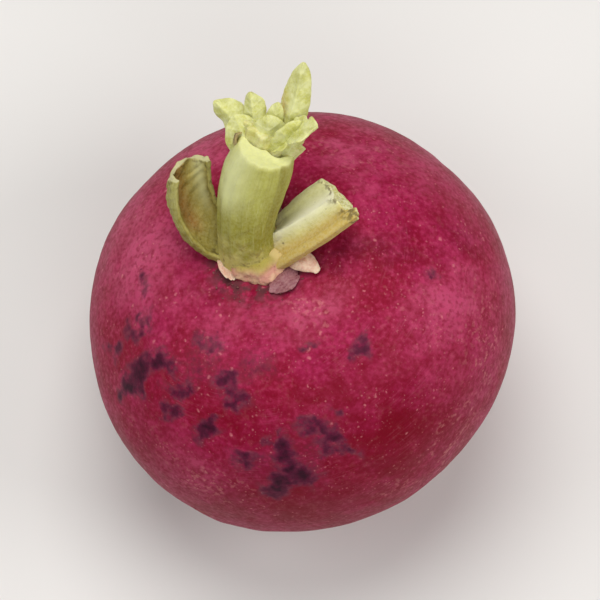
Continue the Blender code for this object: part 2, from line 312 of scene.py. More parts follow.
def make_piece(
    name: str, grids: Sequence[Grid], material: bpy.types.Material, slot: Slot, *nodes: str
) -> bpy.types.Object:
    """One finished object from closed grids, welded, with its faces outwards and shaded smooth.

    Args:
        name: The piece's name.
        grids: The surfaces that make it up, which all have the same masks.
        material: Its finish.
        slot: The record's slot for that finish.
        nodes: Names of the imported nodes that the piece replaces.

    Returns:
        The object, at the origin, with a UV map and an attribute for each mask.
    """
    faces, corners, start = [], [], 0
    for grid in grids:
        quads, uv = grid.faces()
        faces.append(quads + start)
        corners.append(uv)
        start += grid.points.size // 3
    points = np.concatenate([grid.points.reshape(-1, 3) for grid in grids])
    mesh = bpy.data.meshes.new(name)
    mesh.from_pydata(points.tolist(), [], np.concatenate(faces).tolist())
    mesh.uv_layers.new(name="UVMap").data.foreach_set("uv", np.concatenate(corners).ravel())
    for mask in grids[0].masks:
        values = np.concatenate([grid.values(mask) for grid in grids]).astype(np.float32)
        mesh.attributes.new(mask.value, "FLOAT", "POINT").data.foreach_set("value", values)
    shape = bmesh.new()
    shape.from_mesh(mesh)
    bmesh.ops.remove_doubles(shape, verts=shape.verts, dist=1e-7)
    bmesh.ops.recalc_face_normals(shape, faces=shape.faces)
    shape.to_mesh(mesh)
    shape.free()
    mesh.shade_smooth()
    mesh.materials.append(material)
    piece = bpy.data.objects.new(name, mesh)
    bpy.context.scene.collection.objects.link(piece)
    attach(piece, BODY)
    if nodes:
        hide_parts(*nodes)
    LOG.info("%s: %d faces, slot %s", name, len(mesh.polygons), slot.value)
    return piece


@dataclass(frozen=True)
class Spine:
    """A Bezier curve that a section is carried along, and the direction that the section's width lies in."""

    path: Sequence[Point]
    across: Point
    step: float = 0.01

    def frames(self, share: np.ndarray) -> tuple[np.ndarray, ...]:
        """The curve's frame at some shares of its way.

        Ahead is the difference of two points one step before and behind. Side is the across direction less
        its part along ahead, and front is side times ahead.

        Args:
            share: Shares of the way along.

        Returns:
            Centre, ahead, side and front, each with one row for each share and one column.
        """
        after = bezier(self.path, np.minimum(share + self.step, 1.0))
        before = bezier(self.path, np.maximum(share - self.step, 0.0))
        ahead = unit(after - before)
        across = np.array(self.across, float)
        side = unit(across - ahead * (ahead @ across)[:, None])
        centre = bezier(self.path, share)
        return tuple(value[:, None] for value in (centre, ahead, side, np.cross(side, ahead)))

    def length(self) -> float:
        """The curve's length, from 50 short chords."""
        points = bezier(self.path, np.linspace(0.0, 1.0, 51))
        return float(np.linalg.norm(np.diff(points, axis=0), axis=1).sum())


class Bench:
    """A node tree being filled: it places nodes, sets their sockets and joins them."""

    def __init__(self, tree: bpy.types.NodeTree) -> None:
        """Works on one tree."""
        self.tree = tree

    def add(self, kind: str, inputs: dict | None = None, **properties: object) -> bpy.types.Node:
        """Places a shader node.

        Args:
            kind: The node's type, without the ShaderNode that all begin with.
            inputs: A socket to link or a value to set, for each input by name or number.
            properties: The node's own settings.

        Returns:
            The node.
        """
        node = self.tree.nodes.new("ShaderNode" + kind)
        for name, value in properties.items():
            setattr(node, name, value)
        for key, value in (inputs or {}).items():
            if isinstance(value, Socket):
                self.tree.links.new(value, node.inputs[key])
            else:
                node.inputs[key].default_value = value
        return node

    def attribute(self, mask: Mask) -> Socket:
        """A mask of the surface."""
        return self.add("Attribute", attribute_name=mask.value).outputs["Fac"]

    def texture(self, vector: Socket, scale: Value, **inputs: float) -> bpy.types.Node:
        """A noise texture."""
        return self.add("TexNoise", {"Vector": vector, "Scale": scale, **inputs})

    def span(self, value: Socket, low: Value, high: Value, top: float = 1.0) -> Socket:
        """A smooth rise from 0 to top as the value goes from low to high."""
        inputs = {"Value": value, "From Min": low, "From Max": high, "To Max": top}
        return self.add("MapRange", inputs, interpolation_type="SMOOTHSTEP").outputs[0]

    def math(self, operation: str, first: Value, second: Value, clamp: bool = True) -> Socket:
        """One sum of two values, kept between 0 and 1 by the clamp."""
        return self.add("Math", {0: first, 1: second}, operation=operation, use_clamp=clamp).outputs[0]

    def times(self, first: Value, *others: Value) -> Socket:
        """The values multiplied one after the other."""
        for other in others:
            first = self.math("MULTIPLY", first, other)
        return first

    def plus(self, first: Value, second: Value) -> Socket:
        """Two values added."""
        return self.math("ADD", first, second)

    def minus(self, first: Value, second: Value) -> Socket:
        """The second value taken from the first."""
        return self.math("SUBTRACT", first, second)

    def vector(self, operation: str, inputs: dict) -> Socket:
        """One sum of vectors."""
        return self.add("VectorMath", inputs, operation=operation).outputs[0]

    def mix(self, factor: Value, low: Socket | Colour, high: Socket | Colour) -> Socket:
        """Two colours mixed by a factor."""
        low, high = (end if isinstance(end, Socket) else (*end, 1.0) for end in (low, high))
        return self.add("Mix", {0: factor, 6: low, 7: high}, data_type="RGBA").outputs[2]

    def group(self, tree: bpy.types.NodeTree, **inputs: Value | tuple) -> Socket:
        """The first output of a shared effect, with this material's values."""
        return self.add("Group", inputs, node_tree=tree).outputs[0]


class Effects:
    """The effects that several finishes share, each a node group that is built once."""

    def __init__(self) -> None:
        """Builds the groups."""
        self.speckle = self.make_speckle()
        self.streaks = self.make_streaks()
        self.mottle = self.make_mottle()
        self.grain = self.make_grain()

    @staticmethod
    def start(name: str, result: str, kind: str, **sockets: str) -> tuple[Bench, dict[str, Socket]]:
        """Begins a group with its named sockets.

        Args:
            name: The group's name.
            result: The output's name.
            kind: The output's type, such as Float.
            sockets: The type of each input, by the input's name.

        Returns:
            The bench for its tree, and its inputs by name.
        """
        tree = bpy.data.node_groups.new(name, "ShaderNodeTree")
        for label, type_name in sockets.items():
            tree.interface.new_socket(label, in_out="INPUT", socket_type="NodeSocket" + type_name)
        tree.interface.new_socket(result, in_out="OUTPUT", socket_type="NodeSocket" + kind)
        entry = tree.nodes.new("NodeGroupInput")
        return Bench(tree), {label: entry.outputs[label] for label in sockets}

    @staticmethod
    def end(bench: Bench, value: Socket) -> bpy.types.NodeTree:
        """Joins the value to the group's output and gives the group."""
        leave = bench.tree.nodes.new("NodeGroupOutput")
        bench.tree.links.new(value, leave.inputs[0])
        return bench.tree

    def make_speckle(self) -> bpy.types.NodeTree:
        """Uneven dots, one in each Voronoi cell, their radius the cell's random number squared by Amount."""
        bench, entry = self.start("speckle", "Mask", "Float", Vector="Vector", Scale="Float", Amount="Float")
        scaled = bench.vector("SCALE", {0: entry["Vector"], 3: entry["Scale"]})
        wobble = bench.vector("SCALE", {0: bench.texture(scaled, 2.2).outputs["Color"], 3: 0.55})
        moved = bench.vector("ADD", {0: scaled, 1: wobble})
        cells = bench.add("TexVoronoi", {"Vector": moved, "Scale": 1.0})
        chance = bench.add("SeparateColor", {0: cells.outputs["Color"]}).outputs[0]
        size = bench.times(chance, chance, entry["Amount"])
        return self.end(bench, bench.span(cells.outputs["Distance"], size, bench.times(size, 0.15)))

    def make_streaks(self) -> bpy.types.NodeTree:
        """Thin marks along v: noise on UV times Across in u and Along in v, cut off below Level."""
        sockets = {"UV": "Vector", "Across": "Float", "Along": "Float", "Level": "Float"}
        bench, entry = self.start("streaks", "Mask", "Float", **sockets)
        scale = bench.add("CombineXYZ", {0: entry["Across"], 1: entry["Along"], 2: 1.0}).outputs[0]
        stretched = bench.vector("MULTIPLY", {0: entry["UV"], 1: scale})
        noise = bench.texture(stretched, 1.0, Detail=3.0, Roughness=0.6).outputs[0]
        return self.end(bench, bench.span(noise, entry["Level"], bench.plus(entry["Level"], 0.16)))

    def make_mottle(self) -> bpy.types.NodeTree:
        """Two colours in soft patches: noise with contrast as the factor of a mix."""
        sockets = {"Vector": "Vector", "Scale": "Float", "Low": "Color", "High": "Color"}
        bench, entry = self.start("mottle", "Color", "Color", **sockets)
        noise = bench.texture(entry["Vector"], entry["Scale"], Detail=4.0, Roughness=0.55).outputs[0]
        return self.end(bench, bench.mix(bench.span(noise, 0.36, 0.64), entry["Low"], entry["High"]))

    def make_grain(self) -> bpy.types.NodeTree:
        """Height of a fine skin: noise plus half as much of noise three times as fine."""
        bench, entry = self.start("grain", "Height", "Float", Vector="Vector", Scale="Float")
        finer = bench.math("MULTIPLY", entry["Scale"], 3.1, clamp=False)
        coarse = bench.texture(entry["Vector"], entry["Scale"]).outputs[0]
        fine = bench.texture(entry["Vector"], finer).outputs[0]
        return self.end(bench, bench.plus(bench.times(coarse, 0.67), bench.times(fine, 0.33)))


@dataclass(frozen=True)
class Gloss:
    """How a finish takes the light: constants of its shader."""

    roughness: float = 0.5
    specular: float = 0.4
    scatter: float = 0.0
    scatter_radius: Colour = (1.0, 0.5, 0.3)
    scatter_depth: float = 0.6

    def material(self, name: str) -> tuple[bpy.types.Material, bpy.types.Node]:
        """A new material and its Principled shader, with these constants set."""
        material = bpy.data.materials.new(name)
        material.use_nodes = True
        shader = material.node_tree.nodes["Principled BSDF"]
        shader.inputs["Roughness"].default_value = self.roughness
        shader.inputs["Specular IOR Level"].default_value = self.specular
        shader.inputs["Subsurface Weight"].default_value = self.scatter
        shader.inputs["Subsurface Radius"].default_value = self.scatter_radius
        shader.inputs["Subsurface Scale"].default_value = self.scatter_depth * MM
        return material, shader


class FinishBench(Bench):
    """A material being filled. Its colour starts as a ground, and marks are laid over it one by one."""

    def __init__(self, name: str, gloss: Gloss, effects: Effects) -> None:
        """Begins the material.

        Args:
            name: The material's name.
            gloss: The shader's constants.
            effects: The shared node groups.
        """
        self.material, self.shader = gloss.material(name)
        super().__init__(self.material.node_tree)
        self.gloss = gloss
        self.effects = effects
        place = self.add("TexCoord")
        self.spot, self.uv = place.outputs["Object"], place.outputs["UV"]
        self.colour: Socket | Colour = (1.0, 1.0, 1.0)

    def noise(self, size: float, detail: float = 2.0) -> Socket:
        """Noise from 0 to 1 with features of a size in millimetres."""
        return self.texture(self.spot, 1 / (size * MM), Detail=detail).outputs[0]

    def patches(self, size: float, low: float, high: float, top: float = 1.0, detail: float = 2.0) -> Socket:
        """Soft patches: 0 where noise of that size is at low, and rising to top where it is at high."""
        return self.span(self.noise(size, detail), low, high, top)

    def speckle(self, size: float, amount: float) -> Socket:
        """Dots that stand about a size apart, in millimetres."""
        return self.group(self.effects.speckle, Vector=self.spot, Scale=1 / (size * MM), Amount=amount)

    def streaks(self, across: float, along: float, level: float) -> Socket:
        """Thin marks along the surface, by how many fit across it and along it."""
        return self.group(self.effects.streaks, UV=self.uv, Across=across, Along=along, Level=level)

    def mottle(self, size: float, low: Colour, high: Colour) -> Socket:
        """Two colours in soft patches of a size in millimetres."""
        ends = {"Low": (*low, 1), "High": (*high, 1)}
        return self.group(self.effects.mottle, Vector=self.spot, Scale=1 / (size * MM), **ends)

    def grain(self, size: float) -> Socket:
        """The height of a fine skin with a grain of a size in millimetres."""
        return self.group(self.effects.grain, Vector=self.spot, Scale=1 / (size * MM))

    def lay(self, mask: Value, colour: Socket | Colour) -> None:
        """Lays a colour over the colour so far, as strongly as the mask says."""
        self.colour = self.mix(mask, self.colour, colour)

    def uneven(self, noise: Socket, more: float, less: float = 0.06) -> Socket:
        """The gloss's roughness less a little, plus up to more where the noise is high."""
        return self.plus(self.span(noise, 0.2, 0.8, more), self.gloss.roughness - less)

    def finish(self, roughness: Socket, height: Socket, depth: float) -> bpy.types.Material:
        """Joins colour, roughness and relief to the shader.

        Args:
            roughness: The roughness.
            height: Relief from 0 to 1.
            depth: How deep that relief is, in millimetres.

        Returns:
            The finished material.
        """
        bump = self.add("Bump", {"Height": height, "Strength": 1.0, "Distance": depth * MM})
        joined = {"Base Color": self.colour, "Roughness": roughness, "Normal": bump.outputs[0]}
        for name, socket in joined.items():
            self.tree.links.new(socket, self.shader.inputs[name])
        return self.material


@dataclass(frozen=True)
class SkinFinish:
    """Thin matt crimson skin with fine pale speckle, scratches, faint rings and dark blotches, and painted
    highlights and painted shade.
    """

    name: str = "radish_skin"
    crimson: Colour = (0.27, 0.004, 0.032)
    magenta: Colour = (0.36, 0.013, 0.074)
    rose: Colour = (0.50, 0.048, 0.130)
    # pink is the colour of the paler patches, partly the skin's own tone and partly painted highlights.
    pink: Colour = (0.62, 0.105, 0.215)
    # deep is the colour of the deeper patches, which are partly painted shade, and of random clouds.
    deep: Colour = (0.19, 0.001, 0.012)
    # Colour of the painted shade beside the crown and the stalks.
    painted_shade: Colour = (0.12, 0.008, 0.026)
    haze: Colour = (0.20, 0.055, 0.085)
    bruise: Colour = (0.085, 0.006, 0.032)
    blotch: Colour = (0.020, 0.004, 0.012)
    speck: Colour = (0.66, 0.21, 0.23)
    fleck: Colour = (0.60, 0.20, 0.20)
    scratch: Colour = (0.62, 0.18, 0.26)
    scurf: Colour = (0.11, 0.028, 0.035)
    russet: Colour = (0.30, 0.10, 0.065)
    tail: Colour = (0.62, 0.40, 0.27)
    gloss: Gloss = Gloss(0.46, 0.09, scatter=0.05, scatter_radius=(1.0, 0.15, 0.2), scatter_depth=1.0)

    def material(self, effects: Effects) -> bpy.types.Material:
        """The skin's material: ground colours, then marks, each laid over the last by its mask.

        Args:
            effects: The shared node groups.

        Returns:
            The material.
        """
        bench = FinishBench(self.name, self.gloss, effects)
        bench.colour = bench.mottle(9, self.crimson, self.magenta)
        # Paler pink patches, partly the skin's own tone and partly painted highlights.
        bench.lay(bench.attribute(Mask.PALE_AND_HIGHLIGHT), self.pink)
        # Deeper crimson patches, partly the skin's own tone and partly painted shade on the lower side.
        in_deep_and_shade = bench.attribute(Mask.DEEP_AND_SHADED)
        bench.lay(in_deep_and_shade, self.deep)
        # Painted shade beside the crown and the stalks, and low on the front.
        bench.lay(bench.attribute(Mask.PAINTED_SHADE), self.painted_shade)
        # Clouds, large and small
        rosy = bench.minus(1.0, bench.times(in_deep_and_shade, 0.95))
        clouds = bench.noise(2.8, detail=4)
        bench.lay(bench.span(clouds, 0.42, 0.75, 0.4), self.deep)
        bench.lay(bench.times(rosy, bench.span(clouds, 0.52, 0.28, 0.3)), self.rose)
        fine = bench.noise(0.8, detail=4)
        bench.lay(bench.span(fine, 0.42, 0.72, 0.55), self.deep)
        bench.lay(bench.times(rosy, bench.span(fine, 0.5, 0.25, 0.5)), self.rose)
        # Worn flecks and pale specks
        worn = bench.times(bench.attribute(Mask.FLECK), bench.patches(0.9, 0.50, 0.66, 0.65, detail=4))
        bench.lay(bench.times(worn, bench.patches(3.4, 0.42, 0.58, detail=3)), self.fleck)
        cluster = bench.patches(6, 0.38, 0.68, detail=3)
        flecks = bench.times(bench.speckle(0.62, 0.50), bench.plus(bench.times(cluster, 0.45), 0.08))
        bench.lay(flecks, self.speck)
        specks = bench.times(bench.speckle(1.9, 0.26), 0.6)
        bench.lay(specks, self.speck)
        # Scratches down the root and faint rings round it
        scratches = bench.times(bench.streaks(420, 60, 0.60), bench.patches(4, 0.45, 0.62, 0.22))
        bench.lay(scratches, self.scratch)
        rings = bench.times(bench.streaks(30, 420, 0.52), bench.patches(8, 0.42, 0.65, 0.12))
        bench.lay(rings, self.scratch)
        # Scars of side roots
        scar = bench.attribute(Mask.SCAR)
        bench.lay(bench.span(scar, 0.25, 0.8, 0.85), self.russet)
        bench.lay(bench.span(scar, 0.75, 1.0, 0.8), self.blotch)
        # Blotches: a veil, a ragged bruise, a black middle and dots round them
        bruised = bench.attribute(Mask.BLOTCH)
        ragged = bench.math("MULTIPLY", bench.noise(1.3, detail=6), 1.2, clamp=False)
        ragged = bench.math("ADD", bruised, ragged, clamp=False)
        bench.lay(bench.times(bench.span(bruised, 0.02, 0.4, 0.65), bench.span(fine, 0.3, 0.6)), self.haze)
        near = bench.span(bruised, 0.03, 0.28)
        bench.lay(bench.times(near, bench.span(ragged, 0.66, 1.25, 0.8)), self.bruise)
        bench.lay(bench.times(near, bench.span(ragged, 1.02, 1.7, 0.85)), self.blotch)
        bench.lay(bench.times(bench.speckle(2.6, 0.30), bench.span(bruised, 0.02, 0.12, 0.7)), self.bruise)
        # Scurf round the crown, and the tail
        scurf = bench.times(bench.attribute(Mask.SCURF), bench.patches(1.5, 0.36, 0.6, detail=5))
        bench.lay(scurf, self.scurf)
        tail = bench.mix(bench.times(bench.streaks(60, 22, 0.45), 0.6), self.tail, self.russet)
        bench.lay(bench.attribute(Mask.TAIL), tail)
        relief = bench.plus(bench.times(bench.grain(0.55), 0.6), bench.times(specks, 0.25))
        relief = bench.minus(relief, bench.times(bench.plus(scratches, rings), 0.10))
        rough = bench.plus(bench.uneven(fine, 0.14), bench.times(bench.plus(scurf, flecks), 0.18))
        return bench.finish(rough, relief, 0.09)


@dataclass(frozen=True)
class StalkFinish:
    """Ribbed stalk flesh: two greens from base to end, streaks, a pale band that is partly a painted
    highlight, a warm side and a cut face.
    """

    name: str
    low: Colour
    high: Colour
    pale: Colour
    warm: Colour
    inner: Colour
    cut: Colour
    dark: Colour
    skirt: Colour = (0.48, 0.42, 0.11)
    streak: float = 0.5
    dots: float = 0.25
    rim: float = 0.5
    gloss: Gloss = Gloss(0.45, 0.3, scatter=0.12, scatter_radius=(1.0, 0.9, 0.3))

    def material(self, effects: Effects) -> bpy.types.Material:
        """The stalk's material, with its marks along the ribs by the UV map.

        Args:
            effects: The shared node groups.

        Returns:
            The material.
        """
        bench = FinishBench(self.name, self.gloss, effects)
        wander = bench.plus(bench.attribute(Mask.ALONG), bench.patches(3, 0.3, 0.7, 0.2))
        bench.colour = bench.mix(bench.span(wander, 0.46, 1.0), self.low, self.high)
        streaks = bench.streaks(90, 4, 0.46)
        bench.lay(bench.times(streaks, self.streak * 0.7), self.low)
        bench.lay(bench.times(bench.streaks(130, 6, 0.55), self.streak), self.pale)
        inner = bench.mottle(2.6, self.inner, self.low)
        inner = bench.mix(bench.times(streaks, self.streak * 0.6), inner, self.inner)
        bench.lay(bench.attribute(Mask.INNER), inner)
        # The paler base with its dirt, the stripes and the dots
        base = bench.span(wander, 0.40, 0.18)
        bench.lay(bench.times(base, 0.8), self.skirt)
        bench.lay(bench.times(base, bench.patches(1.3, 0.52, 0.66, 0.7, detail=4)), self.dark)
        # The pale band: partly paler tissue, partly a painted highlight.
        bench.lay(bench.attribute(Mask.PALE_BAND_AND_HIGHLIGHT), self.pale)
        bench.lay(bench.attribute(Mask.WARM), self.warm)
        fine = bench.noise(0.5, detail=3)
        bench.lay(bench.span(fine, 0.62, 0.42, 0.14), self.pale)
        spotted = bench.plus(bench.times(base, 0.6), self.dots)
        dots = bench.times(bench.speckle(0.9, 0.42), bench.patches(2.5, 0.45, 0.65), spotted)
        bench.lay(dots, self.dark)
        # The cut face and its dried rim
        on_cut = bench.attribute(Mask.CUT)
        bench.lay(on_cut, bench.mix(bench.patches(0.45, 0.35, 0.65, 0.5), self.cut, self.pale))
        rim = bench.times(bench.attribute(Mask.RIM), bench.patches(1.1, 0.45, 0.62, self.rim, detail=3))
        bench.lay(rim, self.dark)
        ribbed = bench.times(streaks, bench.minus(0.3, bench.times(on_cut, 0.3)))
        relief = bench.plus(ribbed, bench.times(bench.grain(0.4), 0.5))
        rough = bench.plus(bench.uneven(fine, 0.16), bench.times(bench.plus(rim, dots), 0.25))
        return bench.finish(rough, relief, 0.10)


@dataclass(frozen=True)
class LeafFinish:
    """Soft young leaf tissue: pale with greener patches, lighter veins, and a dried warm tinge in places."""

    name: str
    pale: Colour
    green: Colour
    vein: Colour
    tinge: Colour
    patch: float = 2.2
    gloss: Gloss = Gloss(0.42, 0.42, scatter=0.22, scatter_radius=(1.0, 0.95, 0.35))

    def material(self, effects: Effects) -> bpy.types.Material:
        """The leaf's material.

        Args:
            effects: The shared node groups.

        Returns:
            The material.
        """
        bench = FinishBench(self.name, self.gloss, effects)
        bench.colour = bench.mottle(self.patch, self.pale, self.green)
        bench.lay(bench.times(bench.streaks(46, 5, 0.5), 0.3), self.green)
        vein = bench.attribute(Mask.VEIN)
        bench.lay(bench.times(vein, 0.35), self.vein)
        warm = bench.times(bench.attribute(Mask.WARM), bench.patches(0.9, 0.3, 0.55, detail=3))
        bench.lay(warm, self.tinge)
        fine = bench.noise(0.35, detail=3)
        bench.lay(bench.span(fine, 0.62, 0.4, 0.25), self.vein)
        relief = bench.plus(bench.times(bench.grain(0.3), 0.55), bench.times(vein, 0.35))
        return bench.finish(bench.uneven(fine, 0.16), relief, 0.07)


@dataclass(frozen=True)
class CrownFinish:
    """Lumpy crown flesh, pinkish cream below, olive above, tan on the right, with brown scurf."""

    name: str = "crown_flesh"
    cream: Colour = (0.66, 0.42, 0.26)
    pink: Colour = (0.50, 0.14, 0.15)
    olive: Colour = (0.38, 0.31, 0.055)
    tan: Colour = (0.66, 0.50, 0.20)
    scurf: Colour = (0.17, 0.085, 0.04)
    gloss: Gloss = Gloss(0.58, 0.3, scatter=0.08)

    def material(self, effects: Effects) -> bpy.types.Material:
        """The crown's material.

        Args:
            effects: The shared node groups.

        Returns:
            The material.
        """
        bench = FinishBench(self.name, self.gloss, effects)
        bench.colour = bench.mottle(2.4, self.cream, self.pink)
        bench.lay(0.45, self.cream)
        bench.lay(bench.attribute(Mask.ALONG), self.olive)
        bench.lay(bench.attribute(Mask.WARM), self.tan)
        fine = bench.noise(0.6, detail=4)
        scurf = bench.plus(bench.times(bench.attribute(Mask.SCURF), 0.35), fine)
        bench.lay(bench.span(scurf, 0.62, 0.8, 0.8), self.scurf)
        return bench.finish(bench.uneven(fine, 0.2, less=0.1), bench.grain(0.5), 0.16)


@dataclass(frozen=True)
class SkinMark:
    """A mark on the skin by its place in the photo's view: millimetres right of and above the root's middle.

    Its half-sizes are long in the direction of turn, in degrees from the view's right, and wide square to it.
    """

    right: float
    above: float
    long: float
    wide: float
    turn: float
    strength: float

    def strength_at(self, right: np.ndarray, above: np.ndarray) -> np.ndarray:
        """Strength times exp(-d^2), with d the distance from the mark's middle in its half-sizes."""
        angle = math.radians(self.turn)
        x, y = right - self.right, above - self.above
        along = (x * math.cos(angle) + y * math.sin(angle)) / self.long
        square = (y * math.cos(angle) - x * math.sin(angle)) / self.wide
        return self.strength * np.exp(-(along**2 + square**2))


def skin_marks(*rows: tuple[float, ...]) -> tuple[SkinMark, ...]:
    """Marks from rows of their place right and above, long and wide half-size, turn and strength."""
    return tuple(SkinMark(*row) for row in rows)


BLOTCHES = skin_marks(
    (-24, -6.8, 2.6, 1.9, 30, 0.85), (-27.4, -8.4, 3.2, 1.7, 35, 0.95), (-29.8, -10.8, 2.2, 1.8, 60, 1),
    (-31.8, -5.6, 1.8, 1.3, 40, 0.75), (-28, -2.2, 2.6, 1.4, 30, 0.5), (-20.1, -11, 3.2, 1.4, 15, 0.65),
    (-12.6, -10.4, 2.4, 1.6, 20, 0.75), (-10.9, -13.4, 2.2, 2.2, 50, 0.65), (-15.4, -18.4, 2, 1.7, 30, 0.9),
    (-22.6, -15.2, 1.6, 1.4, 60, 0.65), (-3.2, -21.6, 2, 1.6, 60, 0.85), (-1.4, -24, 2.6, 1.9, 40, 0.95),
    (0.2, -25.9, 2.7, 2.1, 20, 1), (-4.1, -28, 2.6, 1.8, 40, 0.95), (-8.9, -24, 2.6, 1.5, 10, 0.7),
    (3.3, -19.4, 3.2, 1.3, -20, 0.8), (7.6, -21.8, 2.8, 1.2, -35, 0.65), (4, -22, 1.6, 1.2, 0, 0.6),
    (9.8, -4.4, 1.3, 2, -10, 0.65), (1, -3.8, 1.4, 1.1, 0, 0.45), (-15, -4.3, 3, 1.6, 5, 0.5),
    (-26.9, 1, 1.6, 1.3, 60, 0.6), (-26.9, 6.2, 1.5, 1.1, 90, 0.45), (22.2, 7.9, 1.2, 1, 0, 0.45),
    (6.4, -16.2, 1.4, 1.2, 60, 0.5), (-6.9, -19.6, 1.4, 1, 30, 0.5), (-6.9, -8.1, 4.6, 3, 20, 0.22),
    (-17, -8, 6, 3.4, 0, 0.22),
)
# Paler patches: partly the skin's own tone, partly painted highlights on the right side, the top, the left and
# under the crown.
PALE_PATCHES_AND_HIGHLIGHTS = skin_marks(
    (25.9, 3, 7, 5.5, 60, 0.6), (8.5, 29.5, 5, 2.4, 0, 0.55), (24, 24.5, 9, 4, -40, 0.3),
    (11, 24, 4.5, 2, -20, 0.35), (1, 1.6, 6, 3, 20, 0.55), (-15.5, 30.5, 8, 3.6, 20, 0.6),
    (-27, 12, 7, 10, 0, 0.8), (26, -9, 6, 5, 20, 0.22), (-12, -1, 7, 3, 10, 0.3),
    (16, -9, 11, 3.2, 20, 0.12), (-18, -26, 9, 3.5, -40, 0.35),
)
# Deeper crimson patches: partly the skin's own tone, partly painted shade that darkens the lower side.
DEEP_AND_SHADED_PATCHES = skin_marks(
    (15, -20, 13, 8, 20, 1), (-10, -17, 14, 5, -20, 0.75), (-26, -11, 5, 9, 20, 0.6),
    (13, -6.5, 7, 3, -20, 0.55), (0, -31, 18, 7, 0, 0.85), (-18, 3, 4, 3, 0, 0.3),
    (4, -13, 8, 4.5, 10, 0.75), (-25, -21, 8, 5, -40, 0.6), (25, 21, 8, 5, -40, 0.35),
)
FLECKED = skin_marks(
    (32, -5, 3.5, 9, 0, 0.9), (26.5, -19.5, 3.2, 9, -32, 0.9), (18.5, -27.5, 7, 2.6, 35, 0.6),
    (-16, -27, 9, 3.2, -30, 0.8), (-27, -20, 3, 8, 25, 0.4), (3.5, 2, 7, 3.6, -15, 0.8),
    (8, -22.3, 4.4, 0.5, -32, 0.9), (20, 1, 16, 4, -30, 0.3), (9, 30, 12, 4, -10, 0.5),
)
# Painted shade: darker skin beside the crown and the stalks, where their shadows fall, and low on the front.
PAINTED_SHADES = skin_marks(
    (14, 12.6, 8, 2.6, -8, 0.5), (6.5, 10.8, 3.4, 2, 30, 0.6), (27.3, 14.7, 4, 1.6, -20, 0.35),
    (-16.1, 6.7, 6, 3.6, -30, 0.35), (-2, -24, 9, 4.5, 20, 0.45),
)


